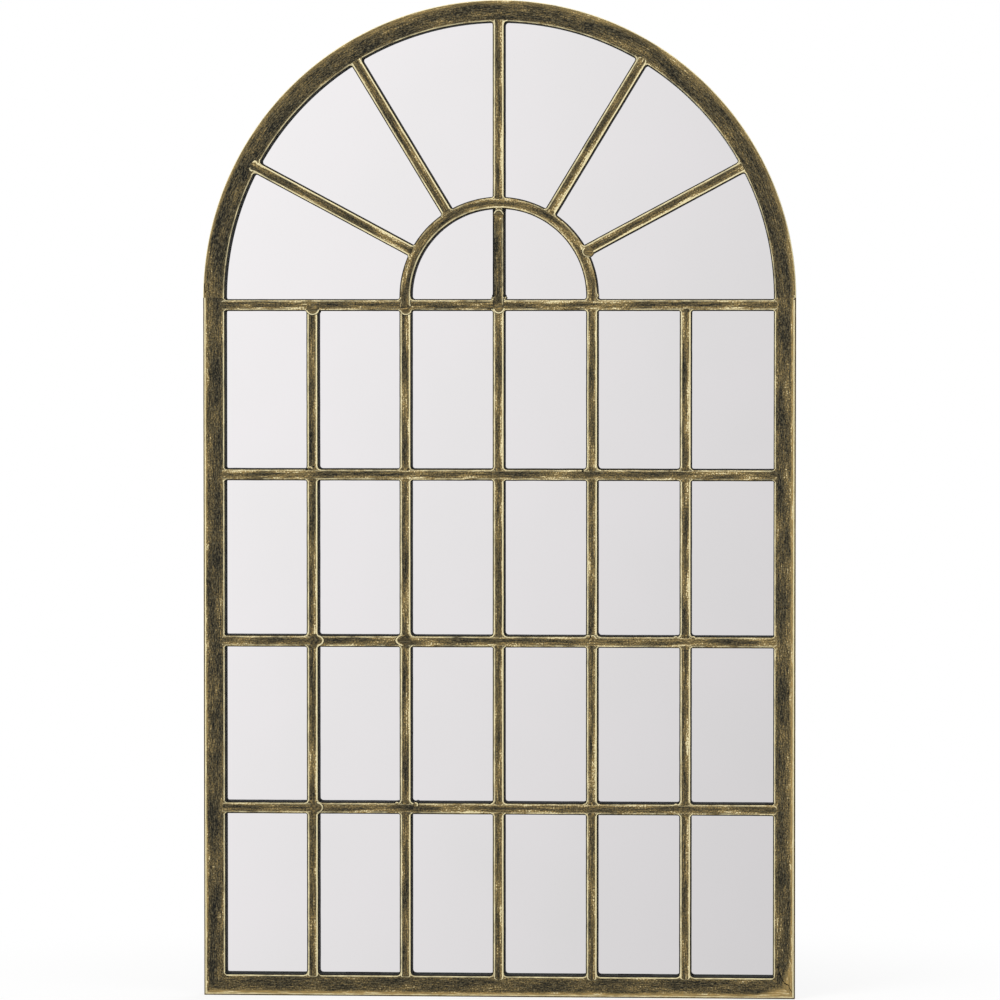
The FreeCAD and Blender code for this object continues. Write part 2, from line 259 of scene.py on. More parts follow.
def brushed_gold_steel(node, colours, part):
    """Mild steel tube in black-brown enamel, dry-brushed with antique gold along its length.

    The brush leaves streaks and patches on the front, rubs the two front edges pale and hardly
    reaches the sides. The pale edge lines also carry a painted highlight, and the black just beyond
    them is partly painted shade. The wrap map holds metres along the bar and round its section.
    """
    sizes = bpy.context.scene.arched_mirror_sizes
    brushing = BRUSHING[part]
    on_frame = part in ("arch", "stile", "sill")
    tube = FRAME_TUBE if on_frame else BAR_TUBE
    corner = sizes.frame_corner if on_frame else sizes.bar_corner
    flat = tube / 2 - corner
    spread = brushing.spread
    wrapped = node("UVMap", uv_map="wrap")
    across = node("SeparateXYZ", (wrapped,), 1)
    off = node("Math", (across,), operation="ABSOLUTE")
    outer = node("Math", (across, 0.0), operation="GREATER_THAN")

    def by_side(inner_value, outer_value):
        return node("Mix", {0: outer, 2: inner_value, 3: outer_value}, data_type="FLOAT")

    def pattern(length, width, detail, roughness, shift):
        scaled = node("Mapping", {"Vector": wrapped, "Location": (shift, shift, 0),
                                  "Scale": (1 / length, 1 / width, 1)})
        texture = node("TexNoise", {"Vector": scaled, "Scale": 1.0, "Detail": detail,
                                    "Roughness": roughness}, noise_dimensions="2D")
        return node("Math", (texture, 0.5), operation="SUBTRACT")

    # Where the pale line lies, and where the black beyond it begins, which is partly painted shade
    edge = by_side(flat + brushing.inner_edge, flat + brushing.outer_edge)
    beyond = node("Math", (off, edge), operation="SUBTRACT")
    place = node("TexCoord", out="Object")
    leftwards = node("SeparateXYZ", (place,))
    patches = pattern(sizes.patch_length, 0.45 * tube, 2.0, 0.5, 3.1)
    stroke = sizes.streak_length * brushing.streak
    streaks = pattern(stroke, sizes.streak_width, 3.0, 0.6, 7.7)
    bristles = pattern(0.4 * stroke, 0.8 * sizes.streak_width, 2.0, 0.6, 1.3)
    grain = pattern(1.9 * MM, 1.4 * MM, 1.0, 0.6, 5.9)

    # How thick the gold lies on the front face, from 0 to 1. There is less gold towards the left,
    # so the front is darker there
    gold = node("MapRange", (leftwards, -ARCH_OUTER, 0.0, brushing.gilt - 0.09, brushing.gilt))
    for layer, share in ((patches, brushing.patchy), (streaks, 1.1 * spread),
                         (bristles, 1.2 * spread), (grain, 1.5 * spread)):
        gold = node("Math", (layer, share, gold), operation="MULTIPLY_ADD")

    # Over each edge the brush went twice
    added = by_side(brushing.inner_gold, brushing.outer_gold)
    added = node("MapRange", (beyond, -sizes.edging_width, 0.0, 0.0, added))
    gold = node("Math", (gold, added), operation="ADD")

    if brushing.band:
        # A smooth band of gold along the outer edge, wider to the right, widest on the mitre there
        along_edge = pattern(1.6 * sizes.patch_length, 4 * tube, 2.0, 0.5, 9.4)
        width = node("MapRange", (leftwards, -ARCH_OUTER, -0.5 * ARCH_OUTER, brushing.narrow, 0.5))
        from_mitre = node("VectorMath", (place, (ARCH_OUTER, FRAME_FRONT, FLOOR)), "Value",
                          operation="DISTANCE")
        on_mitre = node("MapRange", (from_mitre, 18 * MM, 44 * MM, 1.3, 0.0))
        width = node("Math", (width, on_mitre), operation="ADD")
        width = node("Math", (along_edge, 0.5, width), operation="MULTIPLY_ADD")
        begin = node("Math", (width, -flat, flat), operation="MULTIPLY_ADD")
        full = node("Math", (width, -0.4 * flat, flat), operation="MULTIPLY_ADD")
        reach = node("MapRange", (across, begin, full, 0.0, brushing.band))
        band = node("Math", (streaks, 0.6, 0.88), operation="MULTIPLY_ADD")
        gold = node("Mix", {0: reach, 2: gold, 3: band}, data_type="FLOAT")

    # The brush leaves the sides nearly black. The black begins on the rounded front edge just
    # beyond the pale line, and there it is partly painted shade
    side = node("MapRange", (beyond, 0.5 * MM, 1.15 * MM, 1.0, 0.0),
                interpolation_type="SMOOTHSTEP")
    outside = node("Math", (across, flat + corner), operation="GREATER_THAN")
    before_back = node("Math", (across, flat + corner * pi + 2 * flat), operation="LESS_THAN")
    outside = node("Math", (outside, before_back), operation="MULTIPLY")
    thinning = node("MapRange", (across, flat + 2 * corner, flat + 5 * corner,
                                 min(1.6 * brushing.outer_side, 1.0), brushing.outer_side))
    outside = node("Math", (outside, thinning), operation="MULTIPLY")
    touched = node("Math", (side, outside), operation="MAXIMUM")
    touched_gold = node("Math", (gold, touched), operation="MULTIPLY", use_clamp=True)

    ramp = node("ValToRGB", (touched_gold,))
    steps = ramp.node.color_ramp.elements
    steps[0].color = shade(colours.enamel)
    steps[1].color = shade(colours.crest)
    for position, colour in ((0.12, colours.patina), (0.45, colours.umber), (0.78, colours.gold),
                             (0.92, colours.bright_gold)):
        steps.new(position).color = shade(colour)

    # Here and there the brush dragged the enamel's grey bloom up
    bloom = pattern(4.5 * MM, 1.3 * MM, 1.0, 0.5, 4.4)
    bloom = node("Math", (bloom, 2.2 * spread), operation="MULTIPLY", use_clamp=True)
    bloom = node("Math", (bloom, touched), operation="MULTIPLY")
    front = node("Mix", {0: bloom, 6: ramp, 7: shade(linear("#7A7157"))}, 2, data_type="RGBA")

    # The pale line on each front edge: rubbed gold with a painted highlight, broken where the brush
    # skipped and brighter on one side than on the other
    from_crest = node("Math", (beyond,), operation="ABSOLUTE")
    crest = node("MapRange", (from_crest, 0.2 * sizes.crest_width, 0.7 * sizes.crest_width,
                              1.0, 0.0), interpolation_type="SMOOTHSTEP")
    # How bright the pale line is on each side, which also sets the strength of its painted
    # highlight
    rub = by_side(brushing.inner_rub, brushing.outer_rub)
    rubbed_and_highlit = pattern(16 * MM, 8 * MM, 3.0, 0.65, 2.2)
    rubbed_and_highlit = node("Math", (rubbed_and_highlit, 1.6, rub), operation="MULTIPLY_ADD", use_clamp=True)
    crest = node("Math", (crest, rubbed_and_highlit), operation="MULTIPLY")
    colour = node("Mix", {0: crest, 6: front, 7: shade(colours.crest)}, 2, data_type="RGBA")

    # Gold leaf paint shines a little more than the enamel
    shown = node("Math", (touched_gold, crest), operation="MAXIMUM")
    roughness = node("MapRange", (shown, 0.0, 1.0, 0.66, 0.45))
    metallic = node("MapRange", (shown, 0.15, 0.9, 0.0, 0.55))
    relief = node("Math", (streaks, grain), operation="ADD")
    relief = node("Math", (relief, 0.5), operation="ADD")
    bump = node("Bump", {"Strength": 0.45, "Distance": 0.12 * MM, "Height": relief})
    surface(node, {"Base Color": colour, "Roughness": roughness, "Metallic": metallic,
                   "Normal": bump, "Specular IOR Level": 0.15})


def silvered_glass(node, colours):
    """Float glass, silvered behind: a clear even mirror, green at its cut edge, grey behind."""
    low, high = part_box("mirror_glass")
    place = node("TexCoord", out="Object")
    depth = node("SeparateXYZ", (place,), 1)
    behind = node("Math", (depth, low.y + 0.1 * MM), operation="GREATER_THAN")
    at_back = node("Math", (depth, high.y - 0.1 * MM), operation="GREATER_THAN")
    drift = node("TexNoise", {"Vector": place, "Scale": 1 / (140 * MM), "Detail": 2.0})
    tint = node("Mix", {0: drift, 6: shade(colours.silver), 7: shade(linear("#F4F4F3"))}, 2,
                data_type="RGBA")
    edge = node("Mix", {0: at_back, 6: shade(linear("#6F8F83")), 7: shade(linear("#777B7C"))}, 2,
                data_type="RGBA")
    colour = node("Mix", {0: behind, 6: tint, 7: edge}, 2, data_type="RGBA")
    metallic = node("Math", (1.0, behind), operation="SUBTRACT")
    haze = node("MapRange", (drift, 0, 1, 0.012, 0.03))
    roughness = node("Mix", {0: behind, 2: haze, 3: 0.5}, data_type="FLOAT")
    surface(node, {"Base Color": colour, "Metallic": metallic, "Roughness": roughness})


def foam_strip(node, colours):
    """Polyethylene foam tape: closed cells, matt, nearly black."""
    place = node("TexCoord", out="Object")
    # The real cells are about 0.3 mm, drawn at 0.8 mm so that they show
    cells = node("TexVoronoi", {"Vector": place, "Scale": 1 / (0.8 * MM)})
    colour = node("Mix", {0: cells, 6: shade(colours.foam, 0.7), 7: shade(colours.foam, 1.5)}, 2,
                  data_type="RGBA")
    bump = node("Bump", {"Strength": 0.6, "Distance": 0.1 * MM, "Height": cells})
    roughness = node("MapRange", (cells, 0, 1, 0.95, 0.8))
    surface(node, {"Base Color": colour, "Roughness": roughness, "Normal": bump})


def moulded_rubber(node, colours):
    """Moulded black rubber: matt, with a faint grey bloom and a spark-eroded grain."""
    place = node("TexCoord", out="Object")
    bloom = node("TexNoise", {"Vector": place, "Scale": 1 / (5 * MM), "Detail": 4.0,
                              "Roughness": 0.6})
    grain = node("TexNoise", {"Vector": place, "Scale": 1 / (0.35 * MM), "Detail": 2.0})
    colour = node("Mix", {0: bloom, 6: shade(colours.rubber, 0.75), 7: shade(colours.rubber, 2)},
                  2, data_type="RGBA")
    roughness = node("MapRange", (bloom, 0, 1, 0.62, 0.85))
    bump = node("Bump", {"Strength": 0.35, "Distance": 0.06 * MM, "Height": grain})
    surface(node, {"Base Color": colour, "Roughness": roughness, "Normal": bump})


def corrugated_card(node, colours):
    """Kraft corrugated card: brown liners with the flutes showing through and on the cut edge."""
    place = node("TexCoord", out="Object")
    # B flute: 6.5 mm from crest to crest, running up. A wave at scale 0.314, pi / 10, is 1 long
    scaled = node("Mapping", {"Vector": place, "Scale": (1 / (6.5 * MM), 1 / (6.5 * MM), 0.0)})
    flutes = node("TexWave", {"Vector": scaled, "Scale": 0.314, "Distortion": 0.6}, "Fac",
                  bands_direction="X")
    fibres = node("TexNoise", {"Vector": place, "Scale": 1 / (1.6 * MM), "Detail": 5.0,
                               "Roughness": 0.7})
    mixed = node("Math", (flutes, 0.35, fibres), operation="MULTIPLY_ADD")
    colour = node("Mix", {0: mixed, 6: shade(colours.card, 0.62), 7: shade(colours.card)}, 2,
                  data_type="RGBA")
    bump = node("Bump", {"Strength": 0.4, "Distance": 0.3 * MM, "Height": mixed})
    roughness = node("MapRange", (fibres, 0, 1, 0.8, 0.95))
    surface(node, {"Base Color": colour, "Roughness": roughness, "Normal": bump})


def screen_backed_hardboard(node, colours):
    """Black-coated hardboard, screen side out: a woven imprint, wood fibres and pale scuffs."""
    place = node("TexCoord", out="Object")
    # The press screen leaves a 1.6 mm weave, drawn at 2.4 mm so that it shows
    pitch = 2.4 * MM
    weave = [node("TexWave", {"Vector": place, "Scale": pi / (10 * pitch), "Distortion": 1.2,
                              "Detail": 1.0, "Detail Scale": 2.0}, "Fac", bands_direction=direction)
             for direction in ("X", "Z")]
    relief = node("Math", weave, operation="MULTIPLY")
    stretched = node("Mapping", {"Vector": place, "Rotation": (0, radians(14), 0),
                                 "Scale": (1 / (7 * MM), 1.0, 1 / (0.9 * MM))})
    fibres = node("TexNoise", {"Vector": stretched, "Scale": 1.0, "Detail": 3.0, "Roughness": 0.65})
    clouds = node("TexNoise", {"Vector": place, "Scale": 1 / (90 * MM), "Detail": 4.0,
                               "Roughness": 0.55})
    scuff_place = node("Mapping", {"Vector": place, "Rotation": (0, radians(-52), 0),
                                   "Scale": (1 / (60 * MM), 1.0, 1 / (2.2 * MM))})
    scuffs = node("TexNoise", {"Vector": scuff_place, "Scale": 1.0, "Detail": 2.0,
                               "Roughness": 0.5})
    scuffs = node("MapRange", (scuffs, 0.66, 0.8, 0.0, 0.5))
    tone = node("Math", (fibres, clouds), operation="ADD")
    tone = node("Math", (relief, -0.35, tone), operation="MULTIPLY_ADD")
    tone = node("MapRange", (tone, 0.45, 1.35))
    colour = node("Mix", {0: tone, 6: shade(colours.board, 0.55), 7: shade(colours.board, 2.1)}, 2,
                  data_type="RGBA")
    colour = node("Mix", {0: scuffs, 6: colour, 7: shade(linear("#6D5F50"))}, 2, data_type="RGBA")
    height = node("Math", (relief, 1.0, fibres), operation="MULTIPLY_ADD")
    bump = node("Bump", {"Strength": 0.5, "Distance": 0.25 * MM, "Height": height})
    roughness = node("MapRange", (tone, 0, 1, 0.62, 0.82))
    surface(node, {"Base Color": colour, "Roughness": roughness, "Normal": bump,
                   "Specular IOR Level": 0.35})


def zinc_plate(node, colours, drag_length, drag_width):
    """Zinc-plated steel, clear passivated: bright grey with a bluish cloud and fine drag lines."""
    place = node("TexCoord", out="Object")
    cloud = node("TexNoise", {"Vector": place, "Scale": 1 / (3.5 * MM), "Detail": 3.0,
                              "Roughness": 0.55})
    stretched = node("Mapping", {"Vector": place,
                                 "Scale": (1 / drag_length, 1 / drag_width, 1 / drag_width)})
    lines = node("TexNoise", {"Vector": stretched, "Scale": 1.0, "Detail": 3.0})
    colour = node("Mix", {0: cloud, 6: shade(colours.zinc, 0.72), 7: shade(colours.zinc)}, 2,
                  data_type="RGBA")
    colour = node("Mix", {0: lines, 6: colour, 7: shade(linear("#A9B4C4"))}, 2, data_type="RGBA")
    roughness = node("Math", (lines, 0.22, 0.24), operation="MULTIPLY_ADD")
    bump = node("Bump", {"Strength": 0.25, "Distance": 0.03 * MM, "Height": lines})
    surface(node, {"Base Color": colour, "Metallic": 1.0, "Roughness": roughness, "Normal": bump})


# Shapes

def eased(value):
    """A share from 0 to 1, with a smooth start and end."""
    value = min(max(value, 0.0), 1.0)
    return value * value * (3 - 2 * value)


def everything(bm):
    """All corners, edges and faces of a shape."""
    return bm.verts[:] + bm.edges[:] + bm.faces[:]


def corners_in(geom):
    """The corners among the parts of a shape."""
    return [part for part in geom if isinstance(part, bmesh.types.BMVert)]


def pulled_out(bm, faces, way):
    """Extrudes faces by a vector and gives what that made."""
    made = bmesh.ops.extrude_face_region(bm, geom=faces)["geom"]
    bmesh.ops.translate(bm, verts=corners_in(made), vec=way)
    return made


def ringed(bm, point, normal, geom=None, dist=HAIR, **settings):
    """Cuts edges into a shape, or a part of it, along a plane."""
    bmesh.ops.bisect_plane(bm, geom=geom or everything(bm), dist=dist, plane_co=point,
                           plane_no=normal, **settings)


def rounded(bm, geom, offset, segments, affect="EDGES"):
    """Rounds some edges or corners off."""
    bmesh.ops.bevel(bm, geom=geom, offset=offset, offset_type="OFFSET", affect=affect,
                    segments=segments, profile=0.5, material=-1)


def moved(bm, matrix):
    """Moves a whole shape."""
    bmesh.ops.transform(bm, matrix=matrix, verts=bm.verts[:])


def facing_out(bm):
    """Turns all faces of a closed shape outwards."""
    bmesh.ops.recalc_face_normals(bm, faces=bm.faces[:])


def bent(bm, geom, centre, steps):
    """Spins a section to a half circle upwards."""
    return bmesh.ops.spin(bm, geom=geom, cent=centre, axis=-BACKWARD, dvec=(0, 0, 0), angle=pi,
                          steps=steps, use_merge=False, use_duplicate=False)


def turned(points, steps, matrix):
    """A round shape from its half outline of (radius, height) points, turned about Z."""
    bm = bmesh.new()
    verts = [bm.verts.new((radius, 0, height)) for radius, height in points]
    edges = [bm.edges.new(pair) for pair in zip(verts, verts[1:])]
    bmesh.ops.spin(bm, geom=verts + edges, cent=(0, 0, 0), axis=UP, dvec=(0, 0, 0), angle=2 * pi,
                   steps=steps, use_merge=True, use_duplicate=False)
    bmesh.ops.remove_doubles(bm, verts=bm.verts[:], dist=HAIR)
    facing_out(bm)
    moved(bm, matrix)
    return bm


def mesh_from(bm, name):
    """A mesh from a shape that isn't needed afterwards."""
    mesh = bpy.data.meshes.new(name)
    bm.to_mesh(mesh)
    bm.free()
    return mesh


def gather(total, bm):
    """Adds a shape to a larger one."""
    scratch = mesh_from(bm, "scratch")
    total.from_mesh(scratch)
    bpy.data.meshes.remove(scratch)


def object_from(name, data):
    """An object of a mesh, lamp or camera, in the scene."""
    made = bpy.data.objects.new(name, data)
    bpy.context.scene.collection.objects.link(made)
    return made


def finished(bm, node, how, material, body=BODY, sharp=SHARP):
    """Makes a piece from its shape. It takes the place of the node and moves with the body."""
    for face in bm.faces:
        face.smooth = True
    name = f"{node}_{how}"
    mesh = mesh_from(bm, name)
    mesh.set_sharp_from_angle(angle=radians(sharp))
    mesh.materials.append(material)
    piece = object_from(name, mesh)
    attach(piece, body)
    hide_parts(node)
    return piece


def cut_out(piece, bm, name, sharp=SHARP):
    """Cuts a shape out of a piece and keeps the mesh that its modifiers make, without slivers."""
    facing_out(bm)
    tool = object_from(name, mesh_from(bm, name))
    cut = piece.modifiers.new(name, "BOOLEAN")
    cut.operation = "DIFFERENCE"
    cut.solver = "EXACT"
    cut.use_self = True
    cut.object = tool
    shaped = piece.evaluated_get(bpy.context.evaluated_depsgraph_get())
    mesh = bpy.data.meshes.new_from_object(shaped)
    piece.modifiers.clear()
    bpy.data.objects.remove(tool)
    bm = bmesh.new()
    bm.from_mesh(mesh)
    bmesh.ops.dissolve_degenerate(bm, dist=SLIVER, edges=bm.edges[:])
    bm.to_mesh(mesh)
    bm.free()
    mesh.set_sharp_from_angle(angle=radians(sharp))
    piece.data = mesh


def steel_piece(bm, node, part, how="brushed"):
    """A piece of the welded frame, brushed as its part was."""
    steel = material_of(f"mild_steel_{part}_enamelled_dry_brushed_gold", brushed_gold_steel, part)
    return finished(bm, node, how, steel)


# Square tube and its worked ends

# A bar's worked end: how far it runs on, how much its face lifts there, how much it flares, how
# round its tip is and over what length
End = namedtuple("End", "run lift flare roundness tip", defaults=(0.0,) * 5)
# How close together the rings that shape a worked end are, and how far in from the joint they go
RING_STEP = 0.6 * MM
RINGED = 4.0 * MM
# Over what length its face lifts and its sides flare, and over what length a tongue's tip is round
LIFTED = 3.4 * MM
FLARED = 3.0 * MM
TONGUE_TIP = 3.6 * MM
# How far the small arc's left foot and the post run down over the rail, and how much they lift
FOOT_TONGUE = rail_high.z - rail_low.z + 2.6 * MM
FOOT_LIFT = 0.33 * MM


def frame_end(sizes, longer, flare, roundness):
    """A bar's end that is welded over the frame's face."""
    run = longer * sizes.tongue
    return End(run, BAR_FRONT - FRAME_FRONT - 0.03 * MM, flare, roundness, min(run, TONGUE_TIP))


def bar_end(sizes, flare):
    """A bar's end that is welded into another bar's round edge."""
    return End(sizes.bar_corner, 0.03 * MM, flare)


def section(bm, tube, corner, matrix):
    """The section of a square tube in the XY plane, front to -Y, with lines beside its edges."""
    bmesh.ops.create_grid(bm, x_segments=1, y_segments=1, size=tube / 2)
    rounded(bm, bm.verts[:], corner, 5, "VERTICES")
    beside = tube / 2 - corner - 0.25 * corner
    for place, normal in ((-beside, RIGHT), (0.0, RIGHT), (beside, RIGHT), (-beside, BACKWARD),
                          (beside, BACKWARD)):
        ringed(bm, normal * place, normal, dist=0.1 * HAIR)
    moved(bm, matrix)


def wrap(bm, tube, corner, place, shift):
    """Writes the wrap map: metres along the bar, and round its section from the front's middle."""
    layer = bm.loops.layers.uv.new("wrap")
    flat = tube / 2 - corner
    quarter = corner * pi / 2
    for face in bm.faces:
        hand = 1 if place(face.calc_center_median())[1] >= 0 else -1
        for loop in face.loops:
            along, across, depth = place(loop.vert.co)
            out = abs(across)
            if out <= flat and depth < 0:
                loop[layer].uv = (along + shift, across)
                continue
            if depth < -flat:
                around = flat + corner * atan2(out - flat, -flat - depth)
            elif depth <= flat:
                around = flat + quarter + depth + flat
            elif out > flat:
                around = 3 * flat + quarter + corner * atan2(depth - flat, out - flat)
            else:
                around = 3 * flat + 2 * quarter + flat - out
            loop[layer].uv = (along + shift, hand * around)


def straight_bar(tube, corner, length, begin, finish, build, ripple, seed):
    """A square bar along Z from 0, its front towards -Y, with two worked ends.

    build is how thick the enamel lies on the long sides.
    """
    bm = bmesh.new()
    broad = 1 + 2 * build / tube
    section(bm, tube, corner, Matrix.Translation((0, 0, -begin.run)) @
            Matrix.Diagonal((broad, 1, 1, 1)))
    whole = length + begin.run + finish.run
    pulled_out(bm, bm.faces[:], UP * whole)
    lengthwise = [edge for edge in bm.edges
                  if abs(edge.verts[0].co.z - edge.verts[1].co.z) > 0.5 * whole]
    bmesh.ops.subdivide_edges(bm, edges=lengthwise, cuts=max(2, int(whole / (7 * MM))),
                              use_grid_fill=True)
    for end, base, turn in ((begin, 0.0, 1), (finish, length, -1)):
        for step in range(int((end.run + RINGED) / RING_STEP)):
            ringed(bm, UP * (base + turn * (step * RING_STEP - end.run + 0.02 * MM)), UP)
    wrap(bm, tube, corner, lambda co: (co.z, co.x / broad, co.y), seed * 0.37)
    for vert in bm.verts:
        across, depth, along = vert.co
        if depth < 0:
            drift = noise.noise(Vector((along * 60, seed * 5.3, 0))) + 0.6 * noise.noise(
                Vector((along * 210, seed * 3.1, across * 400)))
            vert.co.x += ripple * drift
        for end, into in ((begin, along), (finish, length - along)):
            if depth < 0:
                vert.co.y -= end.lift * (1 - eased(into / LIFTED))
            from_tip = max(into + end.run, 0.0)
            vert.co.x *= 1 + end.flare * (1 - eased(from_tip / (end.run + FLARED))) ** 2
            if from_tip < end.tip:
                past = min(1 - from_tip / end.tip, 1.0)
                vert.co.x *= 1 - end.roundness * (1 - sqrt(1 - past * past))
    return bm


def laid(bm, start, along, across, behind=BACKWARD):
    """Turns a shape from the Z, X and Y directions to the given ones, and moves it to start."""
    columns = Matrix((across, behind, along)).transposed().to_4x4()
    moved(bm, Matrix.Translation(start) @ columns)
    facing_out(bm)


def glazing_bar(node, part, seed, length, begin, finish, start, along, across):
    """Makes a bar of the small tube. It runs from start the way along, its right side across."""
    sizes = bpy.context.scene.arched_mirror_sizes
    bm = straight_bar(BAR_TUBE, sizes.bar_corner, length, begin, finish, sizes.edge_build,
                      sizes.ripple, seed)
    laid(bm, start, along, across)
    steel_piece(bm, node, part)


def rubbed(bm, sizes, middle):
    """Rubs a frame tube's front back, and its edges in unevenly towards the tube's middle line."""
    for vert in bm.verts:
        if vert.co.y < FRAME_FRONT + 0.6 * sizes.frame_corner:
            vert.co.y += sizes.face_rub
            out = vert.co - middle(vert.co)
            out.y = 0
            drift = noise.noise(vert.co * 38) + 0.5 * noise.noise(vert.co * 140)
            if out.length > 0:
                vert.co -= out.normalized() * sizes.ripple * (1 + drift)


def keyhole(x):
    """The shape of a keyhole for a wall screw, through the tube's back wall."""
    whole = bmesh.new()
    across = Matrix.Rotation(-pi / 2, 4, "X")
    for radius, z in ((4.5 * MM, 0.0), (2.3 * MM, 10 * MM)):
        bm = bmesh.new()
        bmesh.ops.create_cone(bm, cap_ends=True, segments=48, radius1=radius, radius2=radius,
                              depth=6 * MM, matrix=Matrix.Translation((x, 0, z)) @ across)
        gather(whole, bm)
    bm = bmesh.new()
    bmesh.ops.create_cube(bm, size=1.0, matrix=Matrix.Translation((x, 0, 5 * MM)) @ Matrix.Diagonal(
        (4.6 * MM, 6 * MM, 10 * MM, 1)))
    gather(whole, bm)
    return whole


class ARCHED_MIRROR_OT_frame_tubes(bpy.types.Operator):
    """Makes the arch, the two stiles with their keyholes and the bottom rail"""

    bl_idname = "arched_mirror.frame_tubes"
    bl_label = "Frame tubes"

    def execute(self, context):
        sizes = context.scene.arched_mirror_sizes
        corner = sizes.frame_corner

        # The arch is one tube bent to a half circle
        bm = bmesh.new()
        section(bm, FRAME_TUBE, corner, Matrix.Translation((ARCH_LINE, FRAME_MIDDLE_Y, SPRING.z)))
        bent(bm, everything(bm), SPRING, 150)
        facing_out(bm)

        def in_arch(co):
            out = hypot(co.x, co.z - SPRING.z)
            return ARCH_LINE * atan2(co.z - SPRING.z, co.x), out - ARCH_LINE, co.y - FRAME_MIDDLE_Y

        def arch_middle(co):
            out = Vector((co.x, 0, co.z - SPRING.z)).normalized() * ARCH_LINE
            return Vector((out.x, co.y, SPRING.z + out.z))

        wrap(bm, FRAME_TUBE, corner, in_arch, 11.0)
        rubbed(bm, sizes, arch_middle)
        steel_piece(bm, "arch_tube", "arch")

        # The stiles and the bottom rail are mitred where they meet, on the side of the opening
        line = FRAME_TUBE / 2
        height = SPRING.z - FLOOR
        runs = (
            ("left_stile", Vector((-ARCH_LINE, FRAME_MIDDLE_Y, FLOOR)), UP, -RIGHT, height, (1,)),
            ("right_stile", Vector((ARCH_LINE, FRAME_MIDDLE_Y, FLOOR)), UP, RIGHT, height, (1,)),
            ("bottom_rail", Vector((-ARCH_OUTER, FRAME_MIDDLE_Y, FLOOR + line)), RIGHT, -UP,
             2 * ARCH_OUTER, (1, -1)))
        for number, (node, start, along, across, length, mitres) in enumerate(runs):
            bm = straight_bar(FRAME_TUBE, corner, length, End(), End(), 0.0, 0.0, 21 + number)
            for turn in mitres:
                base = UP * (0 if turn > 0 else length)
                ringed(bm, base + RIGHT * line, Vector((-1, 0, -turn)).normalized(),
                       clear_outer=True)
                open_edges = [edge for edge in bm.edges if edge.is_boundary]
                if open_edges:
                    bmesh.ops.holes_fill(bm, edges=open_edges, sides=0)
            laid(bm, start, along, across)
            if node == "bottom_rail":
                rubbed(bm, sizes, lambda co: Vector((co.x, co.y, start.z)))
                steel_piece(bm, node, "sill")
                continue
            rubbed(bm, sizes, lambda co: Vector((start.x, co.y, co.z)))
            stile = steel_piece(bm, node, "stile")
            wall = stile.modifiers.new("tube_wall", "SOLIDIFY")
            wall.thickness = 1.2 * MM
            wall.offset = -1.0
            cut_out(stile, keyhole(start.x), "keyhole")
        return {"FINISHED"}


class ARCHED_MIRROR_OT_rails(bpy.types.Operator):
    """Makes the four glazing rails, each whole from stile to stile"""

    bl_idname = "arched_mirror.rails"
    bl_label = "Rails"

    def execute(self, context):
        sizes = context.scene.arched_mirror_sizes
        for number, node in enumerate(RAILS):
            low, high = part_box(node)
            glazing_bar(node, "rail", 41 + number, high.x - low.x, frame_end(sizes, 1.0, 0.04, 0.3),
                        frame_end(sizes, 1.15, 0.03, 0.85),
                        Vector((low.x, BAR_MIDDLE_Y, (low.z + high.z) / 2)), RIGHT, UP)
        return {"FINISHED"}


class ARCHED_MIRROR_OT_uprights(bpy.types.Operator):
    """Makes the twenty short uprights between the rails"""

    bl_idname = "arched_mirror.uprights"
    bl_label = "Uprights"

    def execute(self, context):
        sizes = context.scene.arched_mirror_sizes
        end = bar_end(sizes, 0.05)
        for row in range(1, ROWS + 1):
            for column in range(1, COLUMNS + 1):
                node = f"upright_r{row}_c{column}"
                low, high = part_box(node)
                foot = frame_end(sizes, *FOOT_TONGUES[column - 1]) if row == ROWS else end
                glazing_bar(node, "upright", 60 + 7 * row + column, high.z - low.z, foot, end,
                            Vector(((low.x + high.x) / 2, BAR_MIDDLE_Y, low.z)), UP, RIGHT)
        return {"FINISHED"}


def out_of_fan(start, along):
    """How far a line runs from start until it leaves the small arc."""
    away = start - FAN_CENTRE
    lead = away.dot(along)
    return -lead + sqrt(lead * lead - away.length_squared + FAN_OUTER ** 2)


def spoke_line(angle):
    """A spoke's direction, its side direction and how far from the arch's centre it begins."""
    along = Vector((cos(radians(angle)), 0, sin(radians(angle))))
    return along, along.cross(BACKWARD), out_of_fan(SPRING, along)


